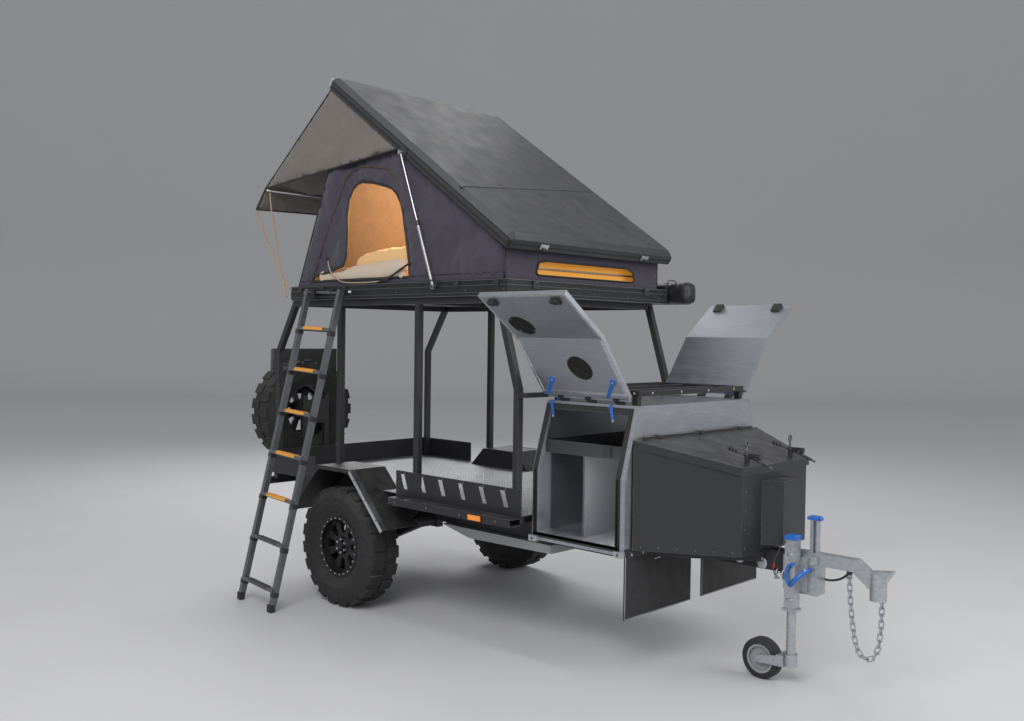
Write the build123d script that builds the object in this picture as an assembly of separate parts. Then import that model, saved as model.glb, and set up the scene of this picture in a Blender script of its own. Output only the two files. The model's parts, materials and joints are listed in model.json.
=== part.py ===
from build123d import *
import math
import os

# Off-road camping trailer with a wedge-shaped hard-shell roof tent.
# Millimetres.  X points forward to the coupling, Y to the far side (the left of
# the trailer), Z up.  While it is modelled the origin is on the ground under the
# axle; the last lines move it to the bottom centre of the bounding box.
# SIDES: near is the right-hand side with the ladder, far the left-hand side.
SIDES = (("near", -1), ("far", 1))

# ---------------------------------------------------------------- driving sizes
MOVING_GAP = 6.0            # clearance between pieces that move past each other
SEAT_GAP = 0.3              # clearance of a piece that only rests on its seat
RUNNING_GAP = 0.05          # radial clearance of a shaft in its bore

# road wheels
TYRE_R = 400.0
TYRE_W = 250.0
TREAD_W = 205.0
RIM_R = 208.0
RIM_W = 190.0
WHEEL_Y = 799.0             # centre plane of each road wheel
SPOKES = 8
STUB_R = 24.0
HUB_R = 62.0
DRUM_R = 128.0
LUG_COUNT = 20
LUG_H = 11.0

# chassis
RAIL_Y = 430.0
RAIL_W = 50.0
RAIL_H = 100.0
RAIL_TOP = 690.0
CHASSIS_REAR = -1020.0
DRAWBAR_W = 100.0
DRAWBAR_H = 110.0
DRAWBAR_FRONT = 2850.0
ARM_Y = 560.0               # centre of each trailing arm
ARM_PIVOT_X = 450.0
ARM_PIVOT_Z = 590.0
ARM_SIZE = 70.0

# load bed
DECK_TOP = 800.0
DECK_T = 4.0
BED_HALF_W = 770.0
BED_SIDE_TOP = 950.0
PANEL_T = 6.0
SLOT_COUNT = 6
SLOT_PITCH = 180.0
SLOT_W = 75.0
SLOT_H = 95.0
SLOT_LEAN = 62.0
SLIDER_OUT = 90.0
SLIDER_H = 45.0

# wheel guards
GUARD_INNER_Y = 640.0
GUARD_OUTER_Y = 935.0
GUARD_TOP = 936.0
GUARD_FLAT = 175.0          # half length of the flat top
GUARD_FOOT_X = 520.0
GUARD_FOOT_Z = 585.0
GUARD_T = 5.0
GUARD_SLOPE = (GUARD_TOP - GUARD_FOOT_Z) / (GUARD_FOOT_X - GUARD_FLAT)

# cage
CAGE_TUBE = 40.0
CAGE_Y = BED_HALF_W - 20.0
CAGE_TOP = 2064.0
CAGE_REAR = -960.0
CAGE_SECOND = -200.0
CAGE_THIRD = 620.0
CAGE_FRONT = 1500.0

# cabinet
CAB_REAR = 1574.0
CAB_FRONT = 2240.0
CAB_HALF_W = 684.0
CAB_TOP_HALF_W = 567.0
CAB_BOTTOM = 660.0
CAB_KNEE = 1070.0
CAB_TOP = 1460.0
CAB_WALL = 22.0
CAB_FLOOR = 704.0           # top of the cabinet floor, which lies on the rails
OPEN_REAR = 1612.0
OPEN_FRONT = 2178.0
OPEN_BOTTOM = 706.0
OPEN_MARGIN = 48.0          # strip left between the opening and the roof edge
SHELF_Z = 1160.0
SHELF_LIP = 75.0
DIVIDER_X = 1880.0

# gullwing doors
DOOR_T = 26.0
DOOR_GAP = 8.0              # closed door stands this far off the cabinet wall
DOOR_OPEN_DEG = 126.0
HINGE_R = 8.0
PORT_R = 82.0
PORT_DEPTH = 12.0
DOOR_HINGES = (1700.0, 1900.0, 2100.0)

# roof rack
RACK_TOP = 1540.0
RACK_TUBE = 30.0

# front toolbox
BOX_REAR = 2250.0
BOX_FRONT = 2745.0
BOX_REAR_HALF_W = 628.0
BOX_FRONT_HALF_W = 345.0
BOX_BOTTOM = RAIL_TOP
BOX_REAR_TOP = 1272.0
BOX_FRONT_TOP = 1150.0
BOX_WALL = 5.0
LID_SKIRT = 40.0
LID_T = 5.0
LID_HINGE_X = 2262.0
LID_HINGE_Z = 1290.0
LID_EARS = (-420.0, 0.0, 420.0)

# tent
TENT_REAR = -741.0
TENT_FRONT = 1452.0
TENT_HALF_W = 788.0
TENT_BASE_Z = 2064.0
TENT_BASE_H = 100.0
TENT_FLOOR_T = 24.0
TRAY_EDGE = 44.0
LEDGE_W = 131.0             # rear ledge that the shut roof lands on
LEDGE_T = 10.0
ROOF_LENGTH = 2110.0
ROOF_OVER = 12.0            # roof's side stands this far out from the tray's
ROOF_HALF_W = TENT_HALF_W + ROOF_OVER
ROOF_H = 92.0
ROOF_TOP_T = 22.0
ROOF_EDGE = 46.0
ROOF_OPEN_DEG = 34.5
CANVAS_T = 6.0
CANVAS_IN = 36.0            # canvas stands this far in from the tray's side
CANVAS_HALF_W = TENT_HALF_W - CANVAS_IN
CANVAS_LEAN = 0.438         # run of the rear wall per unit of height
CANOPY_IN = 14.0            # canopy's side to the roof's side
CANOPY_HALF_W = ROOF_HALF_W - CANOPY_IN
MATTRESS_T = 60.0
MATTRESS_FRONT = 1205.0

# folding riser that lifts the front of the roof: two pairs of equal links
RISER_X = 1364.0            # foot pivot and roof hinge stand on one upright line
RISER_FOOT_Z = 2112.0
RISER_LINK = 135.0
RISER_OPEN_DEG = 78.0       # angle of every link above the tray
RISER_UPPER_Y = 616.0
RISER_LOWER_Y = 630.0
RISER_T = 8.0
RISER_W = 24.0
FOOT_PIN_R = 8.0
KNEE_PIN_R = 6.0
ROOF_PIN_R = 9.0
ROOF_REACH = 92.0           # front edge of the roof ahead of its hinge
ROOF_SEAT = 16.0            # lower edge of the roof above its hinge
ROOF_KNUCKLES = (180.0, 480.0)

# gas struts of the roof
STRUT_OUT = 34.0            # strut's middle plane to the tray's side
STRUT_Y = TENT_HALF_W + STRUT_OUT
STRUT_FOOT = (846.0, 2126.0)
STRUT_HEAD = (519.0, 2988.0)
STRUT_TUBE = 444.0
STRUT_TUBE_R = 13.0
STRUT_ROD_R = 6.0
STRUT_EYE_R = 16.0
STRUT_PIN_R = 8.0
STRUT_OVERLAP = 20.0        # rod left inside its tube with the tent open

# awning bag
BAG_FRONT = 1560.0
BAG_REAR = -700.0
BAG_OUT = 57.0              # bag's inner face to the tray's side, outside the gas strut
BAG_Y = TENT_HALF_W + BAG_OUT
BAG_W = 155.0
BAG_H = 180.0
BAG_HOLDERS = (-500.0, 400.0, 1300.0)

# ladder
LADDER_W = 420.0
LADDER_OUT = 54.0           # ladder's pin to the tray's side
LADDER_RUN = 454.0          # foot stands this far out from the pin
LADDER_TOP = (-262.0, -TENT_HALF_W - LADDER_OUT, 2112.0)
LADDER_FOOT = (-368.0, LADDER_TOP[1] - LADDER_RUN, 0.0)
LADDER_YAW = -4.0
LADDER_RAIL = 36.0
LADDER_PIN_R = 10.0
LADDER_BRACKETS = (-110.0, 110.0)
RUNG_COUNT = 7
RUNG_FIRST = 140.0
RUNG_PITCH = 286.0

# spare wheel on the rear frame
SPARE_X = -1245.0
SPARE_Y = -335.0
SPARE_Z = 1220.0
CARRIER_X = -1075.0

# jockey wheel
JOCKEY_X = 2905.0
JOCKEY_Y = -96.0
JOCKEY_TUBE = 60.0
JOCKEY_R = 24.0
JOCKEY_WHEEL_R = 110.0
JOCKEY_WHEEL_W = 70.0
JOCKEY_TRAIL = 165.0

# coupling
COUPLING_X = 3330.0
COUPLING_BORE_R = 22.0
BRAKE_X = 2975.0
ARM_TOP = 707.0
COUPLING_ARM_H = 64.0
COUPLING_BORE_TOP = 605.0
COUPLING_BOTTOM = 515.0

# safety chain
LINK_INNER = 36.0
LINK_WIRE = 6.0
LINK_W = 17.0               # clear width inside a link
LINK_PITCH = 34.0
LINK_COUNT = 23
CHAIN_Y = 56.0              # beside the coupling, clear of its bore and of the jockey wheel


# ---------------------------------------------------------------- helpers
def block(x0, x1, y0, y1, z0, z1):
    """Box between two opposite corners."""
    centre = Pos((x0 + x1) / 2, (y0 + y1) / 2, (z0 + z1) / 2)
    return centre * Box(x1 - x0, y1 - y0, z1 - z0)


def face_of(points):
    """Flat face inside a closed outline of straight lines."""
    return make_face(Polyline(*points, close=True))


def prism_y(points, y0, y1):
    """Outline of (x, z) points, pulled from y0 to y1."""
    return extrude(Plane.XZ.offset(-y1) * face_of(points), amount=y1 - y0)


def prism_x(points, x0, x1):
    """Outline of (y, z) points, pulled from x0 to x1."""
    return extrude(Plane.YZ.offset(x0) * face_of(points), amount=x1 - x0)


def prism_z(points, z0, z1):
    """Outline of (x, y) points, pulled from z0 to z1."""
    return extrude(Plane.XY.offset(z0) * face_of(points), amount=z1 - z0)


def offset_line(points, distance):
    """Mitred copy of an open line of points, moved to its left."""
    normals = []
    for (x0, y0), (x1, y1) in zip(points, points[1:]):
        length = math.hypot(x1 - x0, y1 - y0)
        normals.append(((y0 - y1) / length, (x1 - x0) / length))
    moved = []
    for i, (x, y) in enumerate(points):
        ax, ay = normals[max(i - 1, 0)]
        bx, by = normals[min(i, len(normals) - 1)]
        reach = distance / (1 + ax * bx + ay * by)
        moved.append((x + (ax + bx) * reach, y + (ay + by) * reach))
    return moved


def strip(points, left, right):
    """Closed outline of a mitred strip along an open line of points."""
    return offset_line(points, left) + offset_line(points, -right)[::-1]


def rod(start, end, radius):
    """Round bar between two points."""
    a = Vector(*start)
    b = Vector(*end)
    place = Plane(origin=a, z_dir=b - a)
    return place * Cylinder(radius, (b - a).length, align=(Align.CENTER, Align.CENTER, Align.MIN))


def beam(start, end, width, height, across=(0, 1, 0)):
    """Straight rectangular bar; its width lies along the given direction."""
    a = Vector(*start)
    b = Vector(*end)
    place = Plane(origin=a, x_dir=Vector(*across), z_dir=b - a)
    return place * Box(width, height, (b - a).length, align=(Align.CENTER, Align.CENTER, Align.MIN))


def mirrored(shape):
    """The same piece on the far side."""
    return mirror(shape, about=Plane.XZ)


def both_sides(shape):
    """A near-side piece and its mirror image, as one part."""
    return Part() + [shape, mirrored(shape)]


def turned_y(shape, x, z, degrees):
    """Turn a piece about a line along Y through (x, z)."""
    return Pos(x, 0, z) * Rot(0, degrees, 0) * Pos(-x, 0, -z) * shape


def turned_x(shape, y, z, degrees):
    """Turn a piece about a line along X through (y, z)."""
    return Pos(0, y, z) * Rot(degrees, 0, 0) * Pos(0, -y, -z) * shape


# ---------------------------------------------------------------- wheels
def ring(profile):
    """Revolve (radius, offset) points about the Y axis."""
    return revolve(face_of(profile), axis=Axis.Y)


def tyre():
    """Off-road tyre about the Y axis, centred on the origin."""
    half = TYRE_W / 2
    tread = TREAD_W / 2
    carcass = TYRE_R - LUG_H
    outer = [
        (RIM_R, -RIM_W / 2),
        (RIM_R + 72, -half),
        (carcass - 55, -half),
        (carcass - 12, -tread),
        (carcass, -tread + 25),
        (carcass, tread - 25),
        (carcass - 12, tread),
        (carcass - 55, half),
        (RIM_R + 72, half),
        (RIM_R, RIM_W / 2),
    ]
    body = ring(outer)
    lug_half = math.pi * TYRE_R / LUG_COUNT * 0.62
    lug_top = math.sqrt(TYRE_R**2 - lug_half**2)
    lug = block(-lug_half, lug_half, 8, tread, carcass - 14, lug_top)
    lugs = []
    for i in range(LUG_COUNT):
        turn = 360 / LUG_COUNT * i
        lugs.append(Rot(0, turn, 0) * lug)
        lugs.append(Rot(0, turn + 180 / LUG_COUNT, 0) * mirrored(lug))
    return body + lugs


def rim():
    """Spoked wheel about the Y axis; its outer face looks to -Y."""
    half = RIM_W / 2
    barrel = ring([
        (RIM_R, -half - 4), (RIM_R, half), (RIM_R - 8, half),
        (RIM_R - 26, 20), (RIM_R - 26, -30), (RIM_R - 20, -half - 4),
    ])
    dish = ring([
        (STUB_R + 34, -52), (RIM_R - 22, -60), (RIM_R - 22, -38), (STUB_R + 34, -22),
    ])
    window_in = HUB_R + 24
    window_out = RIM_R - 40
    spread = math.radians(360 / SPOKES * 0.29)
    window = [
        (window_in * math.sin(-spread * 0.8), window_in * math.cos(spread)),
        (window_out * math.sin(-spread), window_out * math.cos(spread)),
        (window_out * math.sin(spread), window_out * math.cos(spread)),
        (window_in * math.sin(spread * 0.8), window_in * math.cos(spread)),
    ]
    cut = prism_y(window, -90, 0)
    cuts = [Rot(0, 360 / SPOKES * i, 0) * cut for i in range(SPOKES)]
    return barrel + (dish - cuts)


def hub():
    """Hub and brake drum that turn with the wheel."""
    bore = STUB_R + RUNNING_GAP
    return ring([
        (bore, -40), (HUB_R - 22, -62), (HUB_R - 22, -22), (STUB_R + 51, -22),
        (STUB_R + 51, -10), (STUB_R + 34, -10), (STUB_R + 34, 30), (DRUM_R, 34), (DRUM_R, 84),
        (DRUM_R - 10, 84), (DRUM_R - 10, 44), (STUB_R + 20, 44), (STUB_R + 20, 60), (bore, 60),
    ])


# ---------------------------------------------------------------- chassis
def chassis():
    """Welded ladder frame with its central drawbar."""
    z0 = RAIL_TOP - RAIL_H
    rail = block(CHASSIS_REAR, CAB_FRONT - 10, -RAIL_Y - RAIL_W / 2, -RAIL_Y + RAIL_W / 2,
                 z0, RAIL_TOP)
    frame = rail + mirrored(rail)
    for x in (CHASSIS_REAR, -420.0, 420.0, CAB_REAR + 20, CAB_FRONT - 60):
        frame += block(x, x + 50, -RAIL_Y, RAIL_Y, z0 + 20, RAIL_TOP)
    frame += block(CAB_REAR + 20, DRAWBAR_FRONT, -DRAWBAR_W / 2, DRAWBAR_W / 2,
                   RAIL_TOP - DRAWBAR_H, RAIL_TOP)
    brace = beam((CAB_FRONT - 90, -RAIL_Y, RAIL_TOP - 40), (2700, -40, RAIL_TOP - 40), 60, 40,
                 across=(0, 0, 1))
    frame += [brace, mirrored(brace)]
    # bearers that carry the load bed
    bearer = block(CHASSIS_REAR, CAB_REAR - 2, -RAIL_Y - RAIL_W / 2, -RAIL_Y + RAIL_W / 2,
                   RAIL_TOP, DECK_TOP - DECK_T)
    frame += [bearer, mirrored(bearer)]
    for x in (CAGE_REAR, CAGE_THIRD, CAGE_FRONT):
        frame += block(x - CAGE_TUBE / 2, x + CAGE_TUBE / 2, -BED_HALF_W + PANEL_T, BED_HALF_W - PANEL_T,
                       DECK_TOP - DECK_T - 50, DECK_TOP - DECK_T)
    return frame


def suspension():
    """Trailing arm, stub axle, spring and damper of each wheel."""
    arm = beam((ARM_PIVOT_X, -ARM_Y, ARM_PIVOT_Z), (0, -ARM_Y, TYRE_R), ARM_SIZE, ARM_SIZE)
    arm += rod((0, -ARM_Y + 40, TYRE_R), (0, -WHEEL_Y - 36, TYRE_R), STUB_R)
    rail_face = -RAIL_Y - RAIL_W / 2
    arm += rod((ARM_PIVOT_X, -ARM_Y - 45, ARM_PIVOT_Z), (ARM_PIVOT_X, rail_face, ARM_PIVOT_Z), 40)
    arm += block(ARM_PIVOT_X - 55, ARM_PIVOT_X + 55, rail_face, rail_face + RAIL_W, 545,
                 RAIL_TOP - RAIL_H)
    seat = block(40, 150, -ARM_Y - 35, -ARM_Y + 60, 462, 478)
    tower = block(30, 160, -ARM_Y - 60, -RAIL_Y - RAIL_W / 2, 740, 752)
    tower += block(88, 102, -ARM_Y - 60, -RAIL_Y - RAIL_W / 2, 640, 740)
    coil = rod((95, -ARM_Y, 470), (95, -ARM_Y, 745), 48)
    return both_sides(arm + seat + coil + tower)


def water_tank():
    """Moulded tank under the bed, tapered at its rear."""
    z = RAIL_TOP - RAIL_H
    wide = prism_y([(600, z), (860, 530), (1560, 540), (1560, z)], -500, 500)
    side = RAIL_Y - RAIL_W / 2 - 4
    return wide + block(640, 1540, -side, side, z, 684)


# ---------------------------------------------------------------- load bed
def guard_x(z):
    """Half length of a wheel guard at a height on its slopes."""
    return GUARD_FOOT_X - (z - GUARD_FOOT_Z) / GUARD_SLOPE


def guard_z(x):
    """Height of a wheel guard's slope at a distance from the axle."""
    return GUARD_FOOT_Z + (GUARD_FOOT_X - abs(x)) * GUARD_SLOPE


def post_sides():
    """Outer and inner face of the near cage posts, as y."""
    outer = -CAGE_Y - CAGE_TUBE / 2 + 14
    return outer, outer + CAGE_TUBE


def deck():
    """Chequer-plate floor, cut out for the wheel guards and the cage posts."""
    half = BED_HALF_W - PANEL_T
    bottom = DECK_TOP - DECK_T
    plate = block(CHASSIS_REAR, CAB_REAR - 2, -half, half, bottom, DECK_TOP)
    reach = guard_x(bottom)
    bay = block(-reach, reach, -half - 1, -GUARD_INNER_Y, bottom - 1, DECK_TOP + 1)
    plate -= [bay, mirrored(bay)]
    for x in (CAGE_REAR, CAGE_THIRD, CAGE_FRONT):
        notch = block(x - CAGE_TUBE / 2, x + CAGE_TUBE / 2, -half - 1, post_sides()[1],
                      bottom - 1, DECK_TOP + 1)
        plate -= [notch, mirrored(notch)]
    return plate


def side_slots(x_first, count):
    """Leaning slots through a near side panel."""
    z = DECK_TOP + 35
    cuts = []
    for i in range(count):
        x = x_first + SLOT_PITCH * i
        outline = [(x, z + SLOT_H), (x + SLOT_LEAN * 0.55, z), (x + SLOT_W, z),
                   (x + SLOT_W - SLOT_LEAN * 0.55, z + SLOT_H)]
        cuts.append(prism_y(outline, -BED_HALF_W - 1, -BED_HALF_W + PANEL_T + 1))
    return cuts


def side_panels():
    """Slotted side plates and the tailboard of the load bed."""
    front = block(450, CAB_REAR - 8, -BED_HALF_W, -BED_HALF_W + PANEL_T, DECK_TOP - 14,
                  BED_SIDE_TOP)
    front -= side_slots(490, SLOT_COUNT)
    rear = block(CHASSIS_REAR, -450, -BED_HALF_W, -BED_HALF_W + PANEL_T, DECK_TOP - 14,
                 BED_SIDE_TOP)
    tail = block(CHASSIS_REAR - PANEL_T, CHASSIS_REAR, -BED_HALF_W, BED_HALF_W,
                 DECK_TOP - 14, BED_SIDE_TOP)
    return both_sides(front + rear) + tail


def wheel_guards():
    """Flat-sided arch over each wheel."""
    line = [(-GUARD_FOOT_X, GUARD_FOOT_Z), (-GUARD_FLAT, GUARD_TOP), (GUARD_FLAT, GUARD_TOP),
            (GUARD_FOOT_X, GUARD_FOOT_Z)]
    arch = prism_y(strip(line, 0, GUARD_T), -GUARD_OUTER_Y, -GUARD_INNER_Y)
    wall = prism_y(line, -GUARD_INNER_Y - GUARD_T, -GUARD_INNER_Y)
    return both_sides(arch + wall)


def guard_trim():
    """Bright edge bar round the outside of each arch."""
    line = [(-GUARD_FOOT_X, GUARD_FOOT_Z), (-GUARD_FLAT, GUARD_TOP), (GUARD_FLAT, GUARD_TOP),
            (GUARD_FOOT_X, GUARD_FOOT_Z)]
    bar = prism_y(strip(line, 2, 24), -GUARD_OUTER_Y - 6, -GUARD_OUTER_Y)
    return both_sides(bar)


def sliders():
    """Step rail below each side panel."""
    z1 = DECK_TOP - 14
    y0 = -BED_HALF_W - SLIDER_OUT
    step = block(GUARD_FOOT_X - 40, CAB_REAR - 14, y0, -BED_HALF_W + PANEL_T, z1 - SLIDER_H, z1)
    step -= block(GUARD_FOOT_X - 41, CAB_REAR - 13, y0 + 5, -BED_HALF_W, z1 - SLIDER_H + 5, z1 - 5)
    return both_sides(step)


def marker_lamps():
    """Amber lamp on each step rail."""
    z = DECK_TOP - 14 - SLIDER_H / 2
    y0 = -BED_HALF_W - SLIDER_OUT
    lamp = block(1230, 1330, y0 - 12, y0, z - 16, z + 16)
    return both_sides(lamp)


# ---------------------------------------------------------------- cage
def cage():
    """Square-tube frame that carries the tent over the bed."""
    half = CAGE_TUBE / 2
    y0, y1 = post_sides()
    foot = DECK_TOP - DECK_T
    top = CAGE_TOP - half
    rear = [(CAGE_REAR, foot), (CAGE_REAR, 1690), (CAGE_REAR + 215, top)]
    front = [(CAGE_FRONT, foot), (CAGE_FRONT, 1520), (CAGE_FRONT - 160, top)]
    side = prism_y(strip(rear, half, half), y0, y1)
    side += prism_y(strip(front, half, half), y0, y1)
    x0 = CAGE_SECOND - half
    x1 = CAGE_SECOND + half
    side += prism_y([(x0, guard_z(x0)), (x1, guard_z(x1)), (x1, top), (x0, top)], y0, y1)
    side += block(CAGE_THIRD - half, CAGE_THIRD + half, y0, y1, foot, top)
    side += block(CAGE_REAR + 200, CAGE_FRONT - 145, y0, y1, CAGE_TOP - CAGE_TUBE, CAGE_TOP)
    frame = side + mirrored(side)
    for x in (CAGE_REAR + 200, CAGE_THIRD - half, CAGE_FRONT - 185):
        frame += block(x, x + CAGE_TUBE, y0 + 2, -y0 - 2, CAGE_TOP - CAGE_TUBE, CAGE_TOP)
    rack_y = -CAB_TOP_HALF_W + 30
    tie = block(CAGE_FRONT, CAB_REAR, y0 + 4, y1 - 4, CAB_TOP + 16, CAB_TOP + 44)
    tie += block(CAB_REAR - 30, CAB_REAR, y0 + 4, rack_y + 30, CAB_TOP + 16, CAB_TOP + 44)
    tie += block(CAB_REAR, CAB_REAR + 30, rack_y, rack_y + 30, CAB_TOP + 16, CAB_TOP + 44)
    return frame + [tie, mirrored(tie)]


# ---------------------------------------------------------------- cabinet
def cabinet_outline(inset, bottom):
    """Cross-section of the cabinet, moved in by the wall."""
    slope = math.atan2(CAB_HALF_W - CAB_TOP_HALF_W, CAB_TOP - CAB_KNEE)
    knee_y = CAB_HALF_W - inset
    top_y = CAB_TOP_HALF_W - inset / math.cos(slope) + inset * math.tan(slope)
    knee_z = CAB_KNEE - inset * math.tan(slope / 2)
    return [(-knee_y, bottom), (-knee_y, knee_z), (-top_y, CAB_TOP - inset),
            (top_y, CAB_TOP - inset), (knee_y, knee_z), (knee_y, bottom)]


def side_line():
    """Near side of the cabinet from its sill to its roof edge, as (y, z)."""
    return [(-CAB_HALF_W, OPEN_BOTTOM), (-CAB_HALF_W, CAB_KNEE), (-CAB_TOP_HALF_W, CAB_TOP)]


def opening_line():
    """Near side line, ending at the top of the door opening."""
    length = math.hypot(CAB_HALF_W - CAB_TOP_HALF_W, CAB_TOP - CAB_KNEE)
    part = (length - OPEN_MARGIN) / length
    top = (-CAB_HALF_W + (CAB_HALF_W - CAB_TOP_HALF_W) * part, CAB_KNEE + (CAB_TOP - CAB_KNEE) * part)
    return [(-CAB_HALF_W, OPEN_BOTTOM), (-CAB_HALF_W, CAB_KNEE), top]


def cabinet():
    """Folded aluminium body on the rails, open on both sides."""
    shell = prism_x(cabinet_outline(0, CAB_BOTTOM), CAB_REAR, CAB_FRONT)
    shell -= prism_x(cabinet_outline(CAB_WALL, CAB_FLOOR), CAB_REAR + CAB_WALL,
                     CAB_FRONT - CAB_WALL)
    rails = RAIL_Y + RAIL_W / 2 + 30
    shell -= block(CAB_REAR - 1, CAB_FRONT + 1, -rails, rails, CAB_BOTTOM - 1, RAIL_TOP)
    way = prism_x(strip(opening_line(), 60, 60), OPEN_REAR, OPEN_FRONT)
    return shell - [way, mirrored(way)]


def cabinet_inside():
    """Shelf tray and divider."""
    x0 = CAB_REAR + CAB_WALL
    x1 = CAB_FRONT - CAB_WALL
    half = CAB_HALF_W - 84
    tray = block(x0, x1, -half, half, SHELF_Z, SHELF_Z + SHELF_LIP)
    tray -= block(x0 + 4, x1 - 4, -half + 4, half - 4, SHELF_Z + 4, SHELF_Z + SHELF_LIP + 1)
    wall = block(DIVIDER_X, DIVIDER_X + 14, -half, half, CAB_FLOOR, SHELF_Z)
    return tray + wall


def door_seals():
    """Rubber seal round each door opening."""
    line = opening_line()
    seal = prism_x(strip(line, 3, 0), OPEN_REAR - 16, OPEN_FRONT + 16)
    hole = prism_x(strip(line, 4, 1), OPEN_REAR, OPEN_FRONT)
    bottom = block(OPEN_REAR - 16, OPEN_FRONT + 16, -CAB_HALF_W - 3, -CAB_HALF_W,
                   OPEN_BOTTOM - 16, OPEN_BOTTOM)
    return both_sides((seal - hole) + bottom)


def corner_blocks():
    """Cast tie-down block at each lower corner of the cabinet."""
    out = 26.0
    blocks = []
    for x in (CAB_REAR - 4, CAB_FRONT - 52):
        piece = block(x, x + 56, -CAB_HALF_W - out, -CAB_HALF_W, CAB_BOTTOM - 6, CAB_BOTTOM + 28)
        piece -= rod((x + 28, -CAB_HALF_W - out - 1, CAB_BOTTOM + 11),
                     (x + 28, -CAB_HALF_W - 8, CAB_BOTTOM + 11), 11)
        blocks.append(piece)
    return both_sides(Part() + blocks)


def door_panel():
    """Near door in its closed place."""
    line = offset_line(side_line(), DOOR_GAP)
    line[0] = (line[0][0], OPEN_BOTTOM - 10)
    panel = prism_x(strip(line, DOOR_T, 0), OPEN_REAR - 26, OPEN_FRONT + 26)
    # a round recess in the inner face of each half
    y = -CAB_HALF_W - DOOR_GAP
    z = CAB_KNEE - 110
    panel -= rod((1720, y + 1, z), (1720, y - PORT_DEPTH, z), PORT_R)
    run = CAB_HALF_W - CAB_TOP_HALF_W
    rise = CAB_TOP - CAB_KNEE
    out = Vector(0, -rise, run).normalized()
    middle = Vector(1955, -(CAB_HALF_W + CAB_TOP_HALF_W) / 2, (CAB_TOP + CAB_KNEE) / 2)
    start = middle + out * (DOOR_GAP - 1)
    end = middle + out * (DOOR_GAP + PORT_DEPTH)
    return panel - rod(start, end, PORT_R)


def door_hinge_point():
    """Centre of the near door's hinge, as (y, z)."""
    line = offset_line(side_line(), DOOR_GAP + DOOR_T / 2)
    return (line[-1][0] + 4, line[-1][1] + 22)


def doors():
    """Both gullwing doors, swung open about their hinges."""
    y, z = door_hinge_point()
    leaf = block(OPEN_REAR - 10, OPEN_FRONT + 10, y - 4, y + 4, z - 26, z)
    for x in DOOR_HINGES:
        leaf -= block(x - 26, x + 26, y - 5, y + 5, z - 30, z + 1)
    knuckle = rod((OPEN_REAR - 10, y, z), (OPEN_FRONT + 10, y, z), HINGE_R)
    near = turned_x(door_panel() + leaf + knuckle, y, z, -DOOR_OPEN_DEG)
    return near, mirrored(near)


def door_latches():
    """Paddle latches on the lower edge of both doors."""
    y = -CAB_HALF_W - DOOR_GAP
    pieces = []
    for x in (OPEN_REAR + 60, OPEN_FRONT - 60):
        bolt = block(x - 26, x + 26, y, y + 26, OPEN_BOTTOM + 20, OPEN_BOTTOM + 58)
        bolt -= block(x - 27, x + 27, y + 16, y + 27, OPEN_BOTTOM + 38, OPEN_BOTTOM + 59)
        paddle = prism_x([(y - DOOR_T, OPEN_BOTTOM + 6), (y - DOOR_T, OPEN_BOTTOM + 70),
                          (y - DOOR_T - 10, OPEN_BOTTOM + 70), (y - DOOR_T - 22, OPEN_BOTTOM + 6)],
                         x - 30, x + 30)
        pieces += [bolt, paddle]
    hinge_y, hinge_z = door_hinge_point()
    near = turned_x(Part() + pieces, hinge_y, hinge_z, -DOOR_OPEN_DEG)
    return near, mirrored(near)


def door_hinges():
    """Carriers on the cabinet roof that hold both doors' hinge rods."""
    y, z = door_hinge_point()
    outline = [(y + 17, CAB_TOP), (y + 50, CAB_TOP), (y + 50, CAB_TOP + 10), (y + 10, z + 9),
               (y - 3, z - 9)]
    carriers = []
    for x in DOOR_HINGES:
        carrier = prism_x(outline, x - 20, x + 20) + rod((x - 20, y, z), (x + 20, y, z), 13)
        carriers.append(carrier - rod((x - 21, y, z), (x + 21, y, z), HINGE_R + RUNNING_GAP))
    return both_sides(Part() + carriers)


# ---------------------------------------------------------------- roof rack
def roof_rack():
    """Slotted rails round the cabinet roof."""
    half = CAB_TOP_HALF_W - 30
    z0 = RACK_TOP - RACK_TUBE
    x0 = CAB_REAR + 20
    x1 = CAB_FRONT - 24
    outer = block(x0, x1, -half, half, z0, RACK_TOP)
    outer -= block(x0 + RACK_TUBE, x1 - RACK_TUBE, -half + RACK_TUBE, half - RACK_TUBE,
                   z0 - 1, RACK_TOP + 1)
    for x in (x0 + 180, x0 + 400):
        outer += block(x, x + RACK_TUBE, -half + 5, half - 5, z0, RACK_TOP - 6)
    for x in (x0 + 10, x1 - 50):
        for y in (-half, half - RACK_TUBE):
            outer += block(x, x + 40, y, y + RACK_TUBE, CAB_TOP, z0)
    return outer


# ---------------------------------------------------------------- toolbox
def box_plan(grow):
    """Plan of the toolbox, tapered towards the coupling."""
    return [(BOX_REAR, -BOX_REAR_HALF_W - grow), (BOX_FRONT + grow, -BOX_FRONT_HALF_W - grow),
            (BOX_FRONT + grow, BOX_FRONT_HALF_W + grow), (BOX_REAR, BOX_REAR_HALF_W + grow)]


def box_slope(lift, reach):
    """Side outline under a plane parallel to the sloping top."""
    rise = (BOX_REAR_TOP - BOX_FRONT_TOP) / (BOX_FRONT - BOX_REAR)
    x0 = BOX_REAR - 60
    x1 = BOX_FRONT + 100
    z0 = BOX_REAR_TOP + rise * 60 + lift
    z1 = BOX_FRONT_TOP - rise * 100 + lift
    return [(x0, z0 - reach), (x0, z0), (x1, z1), (x1, z1 - reach)]


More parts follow.
